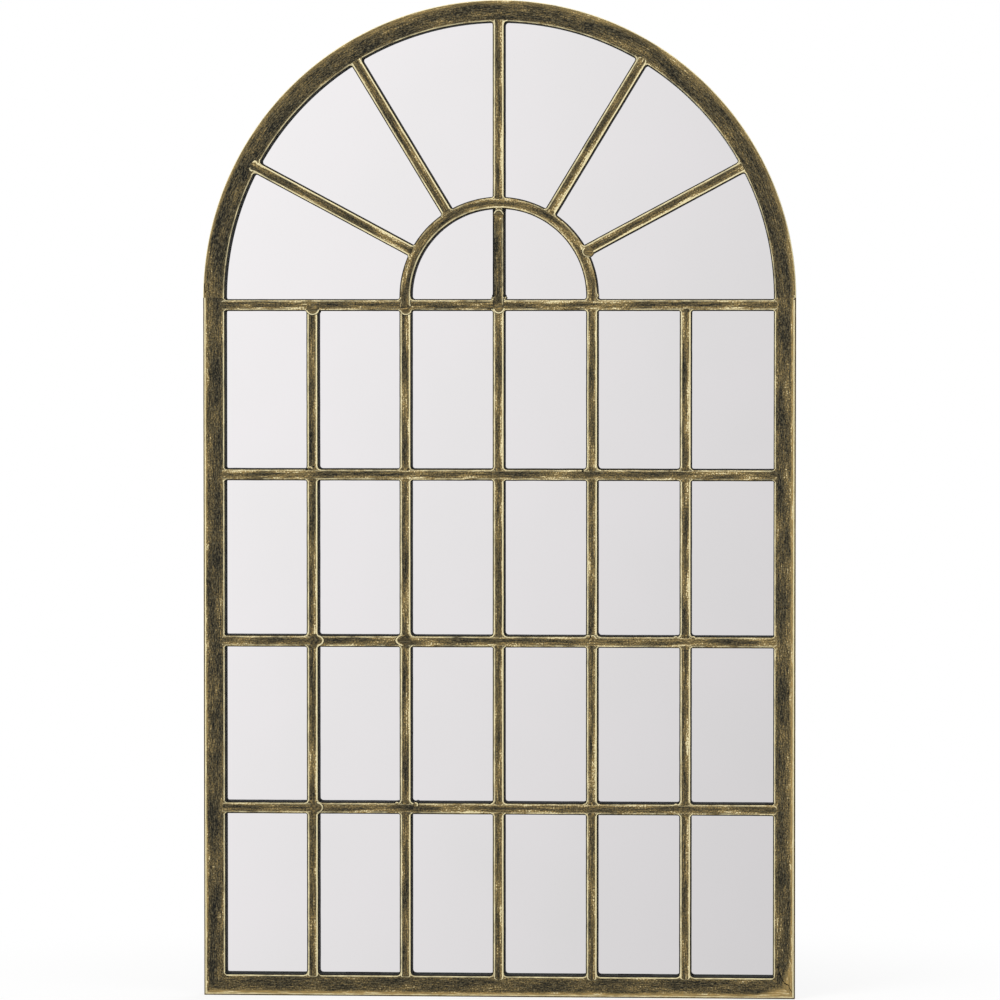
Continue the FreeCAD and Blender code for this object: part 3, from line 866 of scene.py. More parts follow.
class ARCHED_MIRROR_OT_fan(bpy.types.Operator):
    """Makes the small arc, its post and the five spokes"""

    bl_idname = "arched_mirror.fan"
    bl_label = "Fan"

    def execute(self, context):
        sizes = context.scene.arched_mirror_sizes
        corner = sizes.bar_corner

        # The small arc stands on short straight legs, and its left foot runs down as a tongue
        leg = FAN_CENTRE.z - FAN_FLOOR
        broad = 1 + 2 * sizes.edge_build / BAR_TUBE
        bm = bmesh.new()
        section(bm, BAR_TUBE, corner,
                Matrix.Translation((FAN_LINE, BAR_MIDDLE_Y, FAN_FLOOR - corner)) @
                Matrix.Diagonal((broad, 1, 1, 1)))
        top = pulled_out(bm, bm.faces[:], UP * (leg + corner))
        last = bent(bm, top, FAN_CENTRE, 72)["geom_last"]
        pulled_out(bm, [part for part in last if isinstance(part, bmesh.types.BMFace)],
                   -UP * (leg + FOOT_TONGUE))
        # No cap stays inside where the legs meet the bend
        caps = [face for face in bm.faces
                if all(abs(vert.co.z - FAN_CENTRE.z) < 0.01 * MM for vert in face.verts)]
        bmesh.ops.delete(bm, geom=caps, context="FACES")
        # Rings 0.65 mm apart, from the tip up, for the shape of the left foot's tongue
        for step in range(26):
            left = [face for face in bm.faces
                    if all(vert.co.x < -FAN_LINE / 2 for vert in face.verts)]
            parts = {part for face in left for part in (face, *face.edges, *face.verts)}
            ringed(bm, UP * (FAN_FLOOR - FOOT_TONGUE + (step + 0.05) * 0.65 * MM), UP, list(parts))
        facing_out(bm)

        def in_arc(co):
            if co.z >= FAN_CENTRE.z:
                out = hypot(co.x, co.z - FAN_CENTRE.z)
                along = FAN_LINE * atan2(co.z - FAN_CENTRE.z, co.x)
            else:
                out = abs(co.x)
                along = co.z - FAN_CENTRE.z if co.x > 0 else FAN_LINE * pi + FAN_CENTRE.z - co.z
            return along, (out - FAN_LINE) / broad, co.y - BAR_MIDDLE_Y

        wrap(bm, BAR_TUBE, corner, in_arc, 5.2)
        for vert in bm.verts:
            if vert.co.y < BAR_MIDDLE_Y and vert.co.z > FAN_CENTRE.z:
                out = Vector((vert.co.x, 0, vert.co.z - FAN_CENTRE.z)).normalized()
                vert.co += out * sizes.ripple * noise.noise(vert.co * 90)

        # The tongue lifts over the rail, bulges once and has a round tip
        above, tip = 2 * MM, 5.6 * MM
        for vert in bm.verts:
            down = FAN_FLOOR - vert.co.z
            if vert.co.x > 0 or down < -above:
                continue
            if vert.co.y < BAR_MIDDLE_Y:
                vert.co.y -= FOOT_LIFT * eased((down + above) / (2 * above))
            out = vert.co.x + FAN_LINE
            out *= 1 + 0.16 * max(1 - abs(down - 6.5 * MM) / (2.2 * MM), 0)
            from_tip = max(FOOT_TONGUE - down, 0.0)
            if from_tip < tip:
                past = min(1 - from_tip / tip, 1.0)
                out *= sqrt(1 - 0.92 * past * past)
            vert.co.x = out - FAN_LINE
        steel_piece(bm, "fan_arc", "fan")

        low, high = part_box("fan_post")
        foot = End(FOOT_TONGUE, FOOT_LIFT, 0.0, 0.9, 5.8 * MM)
        neck = End(0.9 * MM, 0.0, 0.0, 0.7, TONGUE_TIP)
        glazing_bar("fan_post", "post", 91, high.z - low.z - 0.4 * MM, foot, neck,
                    Vector((0, BAR_MIDDLE_Y, low.z)), UP, RIGHT)

        for number, angle in enumerate(SPOKE_ANGLES):
            along, across, near = spoke_line(angle)
            glazing_bar(f"fan_spoke_{number + 1}", "upright", 95 + number, ARCH_INNER - near,
                        bar_end(sizes, 0.12), frame_end(sizes, *SPOKE_TONGUES[number]),
                        SPRING + along * near + BACKWARD * BAR_MIDDLE_Y, along, -across)
        return {"FINISHED"}


# Welds

# Proud beads that the welder left: place across and up, half width and half height in mm, and the
# way, in degrees, towards the side of the rim that carries the painted highlight
PROUD_BEADS = (
    (-216.8, 46.2, 7.7, 6.3, -90), (-108.0, 46.2, 7.0, 6.4, -90), (0.2, 48.0, 6.6, 6.4, -90),
    (-212.9, -339.4, 8.8, 6.5, 0), (-110.9, -338.6, 9.4, 6.6, 180), (104.0, -334.8, 3.4, 3.2, 110),
    (109.8, -334.8, 3.4, 3.2, 70), (-213.1, -534.6, 8.1, 6.5, 0), (-96.9, -530.4, 3.0, 2.7, 30),
    (-219.8, -138.4, 2.8, 2.2, 60), (205.9, -334.6, 2.2, 1.8, 110), (226.6, -334.6, 2.2, 1.8, 70),
    (206.4, -529.8, 2.4, 1.9, 100), (-118.8, -529.2, 2.1, 1.7, 100), (103.6, 113.2, 6.6, 6.2, 208),
    (342.4, 61.4, 2.0, 1.6, 20), (0.0, 156.4, 5.8, 6.2, 90), (-7.3, 59.8, 1.4, 1.2, 180),
    (7.5, 60.0, 1.4, 1.2, 0), (114.8, 62.4, 1.2, 2.8, 20), (317.6, 53.6, 5.6, 3.6, 50),
    (210.4, -141.8, 1.5, 1.3, 110), (223.0, -141.8, 1.5, 1.3, 70),
)
# Beads wider than this have a groove round them
SMALL_BEAD = 3
# Dark nicks that the grinder and the brush missed: the same four numbers, and the slant in degrees
NICKS = (
    (97.9, -141.0, 1.5, 1.1, 45), (-10.6, -528.8, 1.6, 0.9, 0), (-224.0, -139.6, 1.8, 1.3, 17),
    (-216.0, -136.6, 1.3, 1.0, 0), (-5.4, 161.6, 1.5, 2.4, 0), (5.6, 161.6, 1.5, 2.4, 0),
    (-6.2, 62.2, 1.5, 1.7, 0), (6.4, 62.2, 1.5, 1.7, 0), (106.9, -333.6, 1.2, 1.3, 0),
    (343.2, 58.4, 1.4, 0.9, 35), (325.4, -718.4, 3.4, 0.7, -72), (327.4, -725.6, 4.0, 0.8, -77),
    (330.6, -732.8, 4.2, 0.7, -55), (335.4, -737.6, 3.2, 0.8, -29), (339.6, -743.6, 3.6, 0.6, -63),
    (-342.9, 72.0, 0.8, 5.0, 6),
)
# Where the rubbed line, with its painted highlight, lies inside a pad's rim: just inside, or so far
# off that the pad is dark
RIM_LINE = 0.7 * MM
DARK = 14 * MM


def pane_corners():
    """Each corner of the panes: its point, its sides' ways, and which of them is the frame's."""
    corners = []
    levels = [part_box(rail) for rail in RAILS]
    half = BAR_TUBE / 2
    for row in range(ROWS):
        top = levels[row][0].z
        bottom = levels[row + 1][1].z if row + 1 < ROWS else SILL_TOP
        sides = [-ARCH_INNER]
        for column in range(1, COLUMNS + 1):
            low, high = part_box(f"upright_r{row + 1}_c{column}")
            sides += [low.x, high.x]
        sides.append(ARCH_INNER)
        for left, right in zip(sides[::2], sides[1::2]):
            for x, inward in ((left, RIGHT), (right, -RIGHT)):
                at_stile = abs(abs(x) - ARCH_INNER) < MM
                corners.append((Vector((x, 0, top)), inward, -UP, at_stile, False))
                corners.append((Vector((x, 0, bottom)), inward, UP, at_stile, row + 1 == ROWS))
    for hand in (-1, 1):
        for x, inward, at_stile in ((ARCH_INNER, -1, True), (FAN_OUTER, 1, False),
                                    (FAN_OUTER - BAR_TUBE, -1, False), (half, 1, False)):
            foot = Vector((hand * x, 0, FAN_FLOOR))
            corners.append((foot, RIGHT * inward * hand, UP, at_stile, False))
        for angle in SPOKE_ANGLES:
            along, across, _ = spoke_line(angle)
            side = across * hand
            outer = SPRING + along * sqrt(ARCH_INNER ** 2 - half ** 2) + side * half
            corners.append((outer, -along, side, True, False))
            edge = SPRING + side * half
            corners.append((edge + along * out_of_fan(edge, along), along, side, False, False))
    return corners


def butted_ends():
    """The ends of bars that are butted to other bars: their middles and the ways the bars run."""
    ends = [(Vector((0, 0, FAN_FLOOR)), UP)]
    for row in range(1, ROWS + 1):
        for column in range(1, COLUMNS + 1):
            low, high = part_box(f"upright_r{row}_c{column}")
            middle = (low.x + high.x) / 2
            ends.append((Vector((middle, 0, high.z)), -UP))
            if row < ROWS:
                ends.append((Vector((middle, 0, low.z)), UP))
    for hand in (-1, 1):
        ends.append((Vector((hand * FAN_LINE, 0, FAN_FLOOR)), UP))
    for angle in SPOKE_ANGLES:
        along, _, near = spoke_line(angle)
        ends.append((SPRING + along * near, along))
    return ends


def ground_weld(point, first, second, on_frame_first, on_frame_second, reach, shift):
    """A weld ground flush in a pane's corner: a hollow fillet over both bars, with a pale rubbed
    edge that also carries a painted highlight.
    """
    bm = bmesh.new()
    pad_first, pad_second = (2.7 * MM if on_frame else 2.1 * MM
                             for on_frame in (on_frame_first, on_frame_second))
    outline = ((-pad_first, -pad_second), (reach, -pad_second), (reach, 0), (0, 0), (0, reach),
               (-pad_first, reach))
    verts = [bm.verts.new((a, b, 0)) for a, b in outline]
    bm.faces.new(verts)
    rounded(bm, [verts[3]], reach * 0.98, 7, "VERTICES")
    pulled_out(bm, bm.faces[:], UP * MM)

    def inside(co):
        return hypot(co.x - reach, co.y - reach) - reach

    hollow = [edge for edge in bm.edges
              if all(vert.co.z > 0.5 * MM and abs(inside(vert.co)) < 0.1 * MM
                     for vert in edge.verts)]
    rounded(bm, hollow, 0.8 * MM, 3)
    # The wrap map puts the pale line, rubbed gold with a painted highlight, along the hollow edge
    layer = bm.loops.layers.uv.new("wrap")
    half = BAR_TUBE / 2
    for face in bm.faces:
        for loop in face.loops:
            co = loop.vert.co
            around = half - inside(co) if co.z > 0.1 * MM else half + 4 * MM
            loop[layer].uv = (co.x - co.y + shift, around)

    # The face falls from the frame's level to the bar's
    on_bar = BAR_FRONT - 0.07 * MM
    on_frame = FRAME_FRONT + 0.015 * MM
    for vert in bm.verts:
        a, b, height = vert.co
        if on_frame_first and on_frame_second:
            top = on_frame
        elif on_frame_first:
            top = on_frame + (on_bar - on_frame) * eased(a / LIFTED)
        elif on_frame_second:
            top = on_frame + (on_bar - on_frame) * eased(b / LIFTED)
        else:
            top = on_bar
        depth = BAR_MIDDLE_Y if height < 0.05 * MM else top + (MM - height)
        vert.co = Vector((point.x, 0, point.z)) + first * a + second * b + BACKWARD * depth
    facing_out(bm)
    return bm


def weld_pad(centre, side, away, wide, high, square, front, rim, free, shift):
    """A flat uneven pad of weld metal with a round rim, its face at the depth front.

    rim is how far inside its edge the rubbed line lies, and a pad that was ground flush has none.
    The rubbed line also carries a painted highlight. free is the way towards the side of the rim
    that carries this painted highlight, if only one side does. shift moves the brushed pattern, so
    that no two pads look alike.
    """
    bm = bmesh.new()
    bmesh.ops.create_circle(bm, cap_ends=True, segments=28, radius=1.0)
    for vert in bm.verts:
        box = max(abs(vert.co.x), abs(vert.co.y))
        vert.co *= 1 + square * (1 / box - 1)
        uneven = noise.noise(vert.co * 1.9 + Vector((7 * shift, 0, 0)))
        vert.co *= 1 + 0.3 * max(square, 0.25) * uneven
        vert.co = Vector((vert.co.x * wide, vert.co.y * high, 0))
    middle = bm.faces[:]
    for share in (0.2, 0.4):
        bmesh.ops.inset_region(bm, faces=middle, thickness=share * min(wide, high),
                               use_boundary=True)
    pulled_out(bm, bm.faces[:], UP * MM)
    outline = [edge for edge in bm.edges if edge.calc_face_angle(0) > 1.0
               and all(vert.co.z > 0.5 * MM for vert in edge.verts)]
    rounded(bm, outline, 0.35 * MM, 2)
    bmesh.ops.remove_doubles(bm, verts=bm.verts[:], dist=SLIVER)
    line = BAR_TUBE / 2 - bpy.context.scene.arched_mirror_sizes.bar_corner + BAR_BRUSHING.outer_edge
    layer = bm.loops.layers.uv.new("wrap")
    for face in bm.faces:
        for loop in face.loops:
            across, along, height = loop.vert.co
            around = 0.5 * across
            if rim is not None:
                inside = (1 - hypot(across / wide, along / high)) * min(wide, high)
                # The rubbed line with its painted highlight keeps to the side of the rim that free
                # points to
                facing = 1.0 if free is None else free.x * across / wide + free.y * along / high
                share = eased((facing + 0.3) / 0.5)
                around = share * (line + rim - inside) + (1 - share) * 0.3 * across
            loop[layer].uv = (along + shift, around)
    for vert in bm.verts:
        across, along, height = vert.co
        depth = front + MM - height - centre.y
        vert.co = centre + side * across + away * along + BACKWARD * depth
    facing_out(bm)
    return bm


class ARCHED_MIRROR_OT_welds(bpy.types.Operator):
    """Makes the ground welds in the panes' corners and the round beads left on some joints"""

    bl_idname = "arched_mirror.welds"
    bl_label = "Welds"

    def execute(self, context):
        sizes = context.scene.arched_mirror_sizes
        build = sizes.edge_build
        rng = Random(17)
        total = bmesh.new()
        for number, (point, first, second, on_first, on_second) in enumerate(pane_corners()):
            worked = on_second and not on_first or on_first and abs(first.z) > 0.1
            upward = second.z > 0.1 and not on_first and abs(first.z) < 0.1
            least, most = (1.15, 1.6) if worked else (0.8, 1.5) if upward else (0.35, 0.7)
            reach = sizes.weld_reach * rng.uniform(least, most)
            corner = (point + first * (0 if on_first else build)
                      + second * (0 if on_second else build))
            gather(total, ground_weld(corner, first, second, on_first, on_second, reach,
                                      0.3 * number))
        for number, (point, away) in enumerate(butted_ends()):
            gather(total, weld_pad(point + away * 0.2 * MM, away.cross(BACKWARD), away,
                                   BAR_TUBE / 2 - 1.2 * MM, 2.4 * MM, 0.45,
                                   BAR_FRONT - 0.05 * MM, None, None, 50 + 0.2 * number))
        for number, (x, z, wide, high, way) in enumerate(PROUD_BEADS):
            on_frame = x * MM > ARCH_INNER
            centre = Vector((x * MM, 0, z * MM))
            # free points to the side of the bead's rim that carries the painted highlight
            free = Vector((cos(radians(way)), sin(radians(way)), 0))
            outline = RIGHT, UP, wide * MM, high * MM, 0.0
            shift = 70 + 0.3 * number
            front = FRAME_FRONT + 0.02 * MM if on_frame else BAR_FRONT - 0.36 * MM
            gather(total, weld_pad(centre, *outline, front, RIM_LINE, free, shift))
            if wide >= SMALL_BEAD:
                # A dark groove round a bead, shifted towards the highlighted side of its rim:
                # painted shade beside the painted highlight
                front = FRAME_FRONT + 0.1 * MM if on_frame else BAR_FRONT - 0.1 * MM
                groove = centre + Vector((free.x, 0, free.y)) * 0.9 * MM
                gather(total, weld_pad(groove, *outline, front, DARK, None, shift))
        for number, (x, z, wide, high, slant) in enumerate(NICKS):
            front = FRAME_FRONT + 0.1 * MM if abs(x) * MM > ARCH_INNER else BAR_FRONT - 0.4 * MM
            side = Vector((cos(radians(slant)), 0, sin(radians(slant))))
            gather(total, weld_pad(Vector((x * MM, 0, z * MM)), side, side.cross(BACKWARD) * -1,
                                   wide * MM, high * MM, 0.0, front, DARK, None,
                                   90 + 0.3 * number))
        steel_piece(total, "weld_beads", "weld", "ground")
        return {"FINISHED"}


# The sheets and the fittings on the back

def refinish(node, material):
    """Gives a node of the model, which is kept as it is, its finish."""
    mesh = frame["nodes"][node].data
    mesh.materials.clear()
    mesh.materials.append(material)


class ARCHED_MIRROR_OT_glass(bpy.types.Operator):
    """Finishes the mirror sheet, its bedding tape, its setting blocks and the card behind it"""

    bl_idname = "arched_mirror.glass"
    bl_label = "Glass and packing"

    def execute(self, context):
        # The sheet is cut close, so that no light shows beside it, and its edges are rubbed off
        low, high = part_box("mirror_glass")
        free = 0.15 * MM
        bm = bmesh.new()
        bmesh.ops.create_circle(
            bm, cap_ends=True, segments=256, radius=ARCH_INNER - free,
            matrix=Matrix.Translation((0, low.y, SPRING.z)) @ Matrix.Rotation(pi / 2, 4, "X"))
        ringed(bm, SPRING, -UP, clear_outer=True)
        across = [edge for edge in bm.edges
                  if all(abs(vert.co.z - SPRING.z) < 1e-5 for vert in edge.verts)]
        lowered = bmesh.ops.extrude_edge_only(bm, edges=across)["geom"]
        bmesh.ops.translate(bm, verts=corners_in(lowered), vec=UP * (SILL_TOP + free - SPRING.z))
        pulled_out(bm, bm.faces[:], BACKWARD * (high.y - low.y))
        facing_out(bm)
        arris = [edge for edge in bm.edges
                 if len(edge.link_faces) == 2 and edge.calc_face_angle(0) > 1.2
                 and abs(edge.verts[0].co.y - edge.verts[1].co.y) < HAIR]
        rounded(bm, arris, 0.3 * MM, 1)
        silvered = material_of("float_glass_silvered", silvered_glass)
        sheet = finished(bm, "mirror_glass", "silvered", silvered, sharp=20)

        # Its lower edge is notched where it stands on the two blocks
        blocks = frame["nodes"]["setting_blocks"].data.vertices
        inner, outer = (pick(abs(vert.co.x) for vert in blocks) for pick in (min, max))
        floor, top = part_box("setting_blocks")
        notches = bmesh.new()
        for hand in (-1, 1):
            bm = bmesh.new()
            bmesh.ops.create_cube(bm, size=1.0, matrix=Matrix.Translation(
                (hand * (inner + outer) / 2, (floor.y + top.y) / 2, floor.z)) @ Matrix.Diagonal(
                    (outer - inner + 0.2 * MM, 8 * MM, 2 * (top.z - floor.z), 1)))
            gather(notches, bm)
        cut_out(sheet, notches, "notches", 20)

        refinish("bedding_tape", material_of("polyethylene_foam_tape", foam_strip))
        refinish("setting_blocks", material_of("moulded_black_rubber", moulded_rubber))
        refinish("card_sheet", material_of("kraft_corrugated_card", corrugated_card))
        return {"FINISHED"}


class ARCHED_MIRROR_OT_backing(bpy.types.Operator):
    """Finishes the backing board"""

    bl_idname = "arched_mirror.backing"
    bl_label = "Backing board"

    def execute(self, context):
        refinish("backing_board",
                 material_of("hardboard_screen_side_coated_black", screen_backed_hardboard))
        return {"FINISHED"}


def pan_head_screw():
    """A pan head screw along Z with a cross recess, its head's seat at 0."""
    head = 3.6 * MM
    tall = 2.0 * MM
    outline = [(0.0, tall), (0.45 * head, 0.985 * tall), (0.72 * head, 0.9 * tall),
               (0.9 * head, 0.7 * tall), (0.985 * head, 0.42 * tall), (head, 0.2 * tall),
               (head, 0.04 * tall), (0.97 * head, 0.0), (1.7 * MM, 0.0), (1.7 * MM, -9.0 * MM),
               (1.3 * MM, -9.4 * MM), (0.0, -9.4 * MM)]
    screw = object_from("screw", mesh_from(turned(outline, 40, Matrix.Identity(4)), "screw"))
    recess = bmesh.new()
    for quarter in range(2):
        bm = bmesh.new()
        bmesh.ops.create_cone(bm, cap_ends=True, segments=4, radius1=0.35 * MM, radius2=1.0 * MM,
                              depth=2.2 * MM, matrix=Matrix.Rotation(pi / 4, 4, "Z"))
        moved(bm, Matrix.Translation((0, 0, tall)) @ Matrix.Rotation(quarter * pi / 2, 4, "Z") @
              Matrix.Diagonal((2.9, 0.72, 1, 1)))
        gather(recess, bm)
    cut_out(screw, recess, "recess")
    mesh = screw.data
    bpy.data.objects.remove(screw)
    return mesh


class ARCHED_MIRROR_OT_turn_buttons(bpy.types.Operator):
    """Makes the eight turn buttons on the back and their screws"""

    bl_idname = "arched_mirror.turn_buttons"
    bl_label = "Turn buttons"

    def execute(self, context):
        blanked = material_of("zinc_plated_steel_blanked", zinc_plate, 4 * MM, 0.35 * MM)
        headed = material_of("zinc_plated_steel_cold_headed", zinc_plate, 1.2 * MM, 1.2 * MM)
        half_width = 5.5 * MM
        pivot_to_far_end = 16.2 * MM
        thick = 1.2 * MM
        hole_radius = 1.8 * MM
        ring = 48
        half_step = Matrix.Rotation(pi / ring, 4, "Z")
        screws = bmesh.new()
        screw = pan_head_screw()
        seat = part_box("turn_button_screws")[1].y - 2.0 * MM
        joints = {joint["child"]: joint for joint in frame["joints"]}
        for number in range(1, 9):
            name = f"turn_button_{number}"
            pivot = Vector(joints[name]["pos_m"])
            low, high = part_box(name)
            # A button is a round-ended strip that points from its pivot to its middle
            middle = (low + high) / 2
            pointing = Vector((middle.x - pivot.x, 0, middle.z - pivot.z)).normalized()
            bm = bmesh.new()
            bmesh.ops.create_circle(bm, cap_ends=False, segments=ring, radius=half_width,
                                    matrix=half_step)
            outer = bm.edges[:]
            for vert in bm.verts:
                if vert.co.x > 0:
                    vert.co.x += pivot_to_far_end
            bmesh.ops.create_circle(bm, cap_ends=False, segments=ring, radius=hole_radius,
                                    matrix=half_step)
            inner = [edge for edge in bm.edges if edge not in outer]
            bmesh.ops.bridge_loops(bm, edges=outer + inner)
            pulled_out(bm, bm.faces[:], UP * thick)
            rims = [edge for edge in bm.edges
                    if all(hypot(vert.co.x, vert.co.y) > 3 * MM for vert in edge.verts)
                    and abs(edge.verts[0].co.z - edge.verts[1].co.z) < 0.1 * MM
                    and len(edge.link_faces) == 2 and edge.calc_face_angle(0) > 1.0]
            rounded(bm, rims, 0.22 * MM, 2)
            laid(bm, (pivot.x, low.y, pivot.z), BACKWARD, pointing, pointing.cross(BACKWARD))
            finished(bm, name, "plated", blanked, body=name)
            copy = bmesh.new()
            copy.from_mesh(screw)
            moved(copy, Matrix.Translation((pivot.x, seat, pivot.z)) @ (
                Matrix.Rotation(-pi / 2, 4, "X") @ Matrix.Rotation(0.7 * number, 4, "Z")))
            gather(screws, copy)
        bpy.data.meshes.remove(screw)
        finished(screws, "turn_button_screws", "headed", headed)
        return {"FINISHED"}


class ARCHED_MIRROR_OT_wall_bumpers(bpy.types.Operator):
    """Makes the four rubber pads that stand the frame off the wall"""

    bl_idname = "arched_mirror.wall_bumpers"
    bl_label = "Wall bumpers"

    def execute(self, context):
        low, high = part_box("wall_bumpers")
        tall = high.y
        radius = 8.0 * MM
        outline = [
            (0.0, tall - 0.35 * MM), (2.6 * MM, tall - 0.35 * MM), (3.0 * MM, tall - 0.1 * MM),
            (3.5 * MM, tall), (radius - 1.3 * MM, tall), (radius - 0.6 * MM, tall - 0.25 * MM),
            (radius - 0.25 * MM, tall - 0.8 * MM), (radius - 0.05 * MM, 0.9 * MM),
            (radius, 0.5 * MM), (radius, 0.0), (0.0, 0.0)]
        # Two in the lower corners and two a little way up the arch
        up_the_arch = radians(22.0)
        places = ((high.x - radius, low.z + radius),
                  (ARCH_LINE * cos(up_the_arch), SPRING.z + ARCH_LINE * sin(up_the_arch)))
        total = bmesh.new()
        for x, z in places:
            for hand in (-1, 1):
                to_pad = Matrix.Translation((hand * x, 0, z)) @ Matrix.Rotation(-pi / 2, 4, "X")
                gather(total, turned(outline, 56, to_pad))
        rubber = material_of("moulded_black_rubber", moulded_rubber)
        finished(total, "wall_bumpers", "moulded", rubber)
        return {"FINISHED"}


# The studio

def polished_sight(node, rays):
    """1 for what polished metal and glass see, 0 for the rest."""
    return node("Math", (rays["Is Glossy Ray"], rays["Is Transmission Ray"]), operation="MAXIMUM")


def studio_world(node):
    """A white surround: the camera sees plain white, and polished things a soft fall of light."""
    rays = node("LightPath").node.outputs
    way = node("TexCoord", out="Generated")
    x, y, z = node("SeparateXYZ", (way,)).node.outputs
    # Sideways and upward slope of the direction, for directions in front of the mirror
    forward = node("Math", (y,), operation="ABSOLUTE")
    forward = node("Math", (forward, 0.25), operation="MAXIMUM")
    sideways = node("Math", (x, forward), operation="DIVIDE")
    upwards = node("Math", (z, forward), operation="DIVIDE")
    # The glass shows slopes between these: left, middle and right, and low, middle and high
    left, middle, right = -0.1155, -0.0611, -0.0068
    low, level, high = -0.124, -0.0135, 0.055
    tone = node("MapRange", (sideways, left, middle, 0.9755, 0.9311))
    changes = [node("MapRange", slopes_and_tones) for slopes_and_tones in (
        (sideways, middle, right, 0.0, -0.0558), (upwards, low, level, -0.0446, 0.0),
        (upwards, level, high, 0.0, 0.0213))]
    for change in changes:
        tone = node("Math", (tone, change), operation="ADD")
    tone = node("Math", (tone, 2.2), operation="POWER")
    overhead = node("MapRange", (z, 0.3, 0.85, 0.0, 0.5), interpolation_type="SMOOTHSTEP")
    tone = node("Math", (tone, overhead), operation="ADD")
    soft = node("Background", {"Color": (1.0, 0.985, 0.997, 1), "Strength": tone})
    plain = node("Background", {"Color": (1, 1, 1, 1), "Strength": 0.62})
    white = node("Background", {"Color": (1, 1, 1, 1), "Strength": 1.0})
    lit = node("MixShader", (polished_sight(node, rays), plain, soft))
    seen = node("MixShader", (rays["Is Camera Ray"], lit, white))
    node("OutputWorld", {"Surface": seen})


def studio_floor_paint(node, colours):
    """Matt white floor paint: it shows the mirror's shadow and fades to white away from it."""
    rays = node("LightPath").node.outputs
    place = node("TexCoord", out="Object")
    mottle = node("TexNoise", {"Vector": place, "Scale": 3.0, "Detail": 3.0})
    colour = node("Mix", {0: mottle, 6: shade(linear("#F1F1F0")), 7: shade(linear("#F6F6F5"))}, 2,
                  data_type="RGBA")
    paint = node("BsdfDiffuse", {"Color": colour})
    white = node("Emission", {"Color": (1, 1, 1, 1), "Strength": 1.0})
    clear = node("BsdfTransparent")
    flattened = node("Mapping", {"Vector": place, "Scale": (0.8, 1.0, 0.0)})
    away = node("VectorMath", (flattened,), "Value", operation="LENGTH")
    fade = node("MapRange", (away, 0.25, 0.8, 0.8, 1.0), interpolation_type="SMOOTHSTEP")
    fade = node("Math", (fade, rays["Is Camera Ray"]), operation="MULTIPLY")
    shown = node("MixShader", (fade, paint, white))
    seen = node("MixShader", (polished_sight(node, rays), shown, clear))
    node("OutputMaterial", {"Surface": seen})


def aimed(data, place, way):
    """An object of a lamp or camera at a place, looking one way."""
    made = object_from(data.name, data)
    made.location = place
    made.rotation_mode = "QUATERNION"
    made.rotation_quaternion = way.to_track_quat("-Z", "Y")
    return made


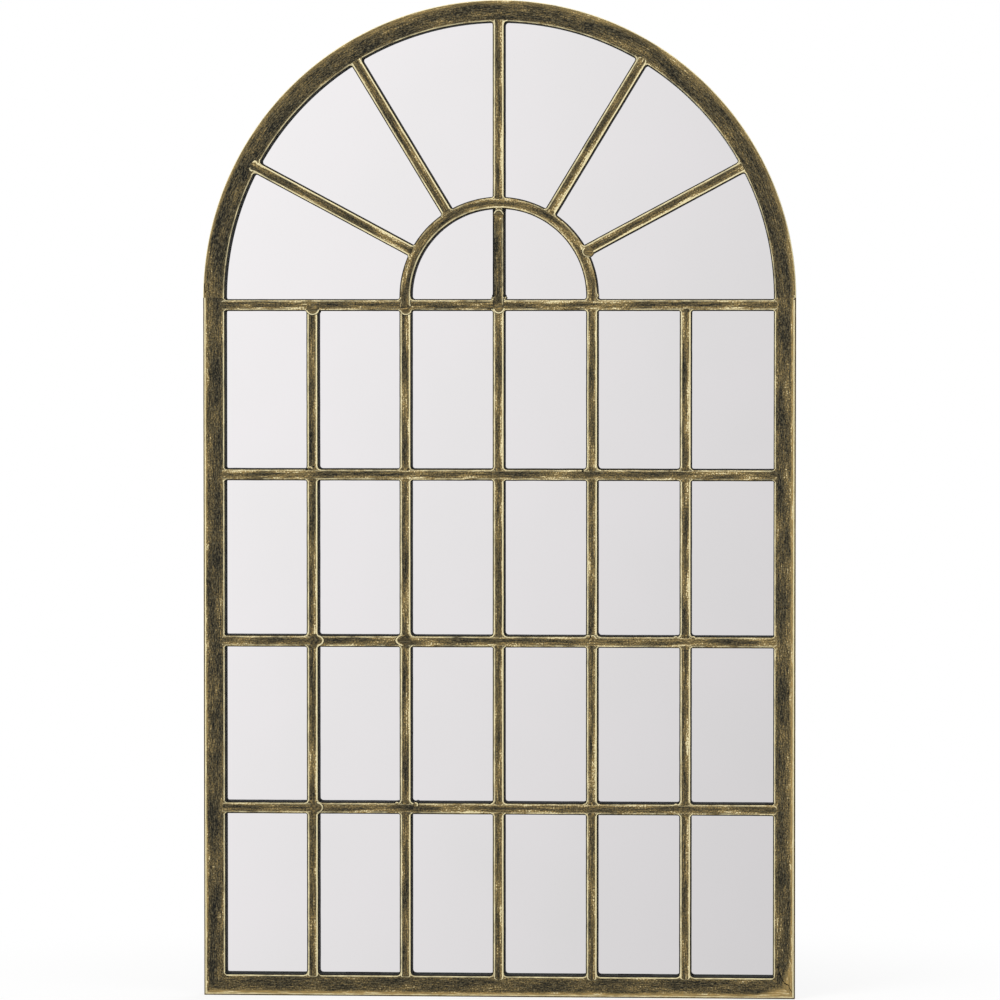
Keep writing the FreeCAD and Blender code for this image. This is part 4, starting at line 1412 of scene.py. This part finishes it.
class ARCHED_MIRROR_OT_studio(bpy.types.Operator):
    """Sets up the floor, the soft lights, the white surround and the camera"""

    bl_idname = "arched_mirror.studio"
    bl_label = "Studio"

    def execute(self, context):
        scene = context.scene
        scene.view_settings.view_transform = "Standard"
        scene.world = bpy.data.worlds.new("studio_surround")
        scene.world.use_nodes = True
        scene.world.node_tree.nodes.clear()
        studio_world(partial(add, scene.world.node_tree))

        bm = bmesh.new()
        bmesh.ops.create_circle(bm, cap_ends=True, segments=96, radius=9.0,
                                matrix=Matrix.Translation((0, 0, FLOOR)))
        floor = object_from("studio_floor", mesh_from(bm, "studio_floor"))
        floor.data.materials.append(material_of("matt_white_floor_paint", studio_floor_paint))

        # A large soft key from the front left, a fill from the front right and one from behind
        centre = Vector((0, FRAME_MIDDLE_Y, (FLOOR + cad_box[1].z) / 2))
        for name, place, power, size in (
                ("key", (-1.9, -2.7, 1.6), 62, 1.8), ("fill", (2.4, -2.4, 0.5), 26, 1.8),
                ("behind", (0.8, 3.2, 1.6), 50, 2.0)):
            lamp = bpy.data.lights.new(name, "AREA")
            lamp.shape = "SQUARE"
            lamp.size = size
            lamp.energy = power
            light = aimed(lamp, place, centre - Vector(place))
            light.visible_glossy = False
            light.visible_camera = False

        # The photograph's view: a little from the right and from above
        azimuth, elevation, distance = radians(3.5), radians(1.9), 6.5
        aim = centre + Vector((0.9, 0, -0.4)) * MM
        lens = bpy.data.cameras.new("photograph")
        lens.lens = 200.9
        lens.sensor_width = 36.0
        back = Vector((sin(azimuth) * cos(elevation), -cos(azimuth) * cos(elevation),
                       sin(elevation)))
        scene.camera = aimed(lens, aim + back * distance, -back)
        return {"FINISHED"}


class ARCHED_MIRROR_PT_panel(bpy.types.Panel):
    """The mirror's steps and settings"""

    bl_idname = "ARCHED_MIRROR_PT_panel"
    bl_label = "Arched mirror"
    bl_space_type = "VIEW_3D"
    bl_region_type = "UI"
    bl_category = "Arched mirror"

    def draw(self, context):
        for step in STEPS:
            self.layout.operator(step.bl_idname)
        for group in (context.scene.arched_mirror_sizes, context.scene.arched_mirror_colours):
            box = self.layout.box()
            for name in group.__annotations__:
                box.prop(group, name)


STEPS = (
    ARCHED_MIRROR_OT_frame_tubes, ARCHED_MIRROR_OT_rails, ARCHED_MIRROR_OT_uprights,
    ARCHED_MIRROR_OT_fan, ARCHED_MIRROR_OT_welds, ARCHED_MIRROR_OT_glass,
    ARCHED_MIRROR_OT_backing, ARCHED_MIRROR_OT_turn_buttons, ARCHED_MIRROR_OT_wall_bumpers,
    ARCHED_MIRROR_OT_studio)
CLASSES = (MirrorSizes, MirrorColours, *STEPS, ARCHED_MIRROR_PT_panel)


def register():
    for kind in CLASSES:
        bpy.utils.register_class(kind)
    bpy.types.Scene.arched_mirror_sizes = bpy.props.PointerProperty(type=MirrorSizes)
    bpy.types.Scene.arched_mirror_colours = bpy.props.PointerProperty(type=MirrorColours)


def unregister():
    del bpy.types.Scene.arched_mirror_colours
    del bpy.types.Scene.arched_mirror_sizes
    for kind in reversed(CLASSES):
        bpy.utils.unregister_class(kind)


def main():
    register()
    bpy.ops.arched_mirror.frame_tubes()
    bpy.ops.arched_mirror.rails()
    bpy.ops.arched_mirror.uprights()
    bpy.ops.arched_mirror.fan()
    bpy.ops.arched_mirror.welds()
    bpy.ops.arched_mirror.glass()
    bpy.ops.arched_mirror.backing()
    bpy.ops.arched_mirror.turn_buttons()
    bpy.ops.arched_mirror.wall_bumpers()
    bpy.ops.arched_mirror.studio()


if __name__ == "__main__":
    main()
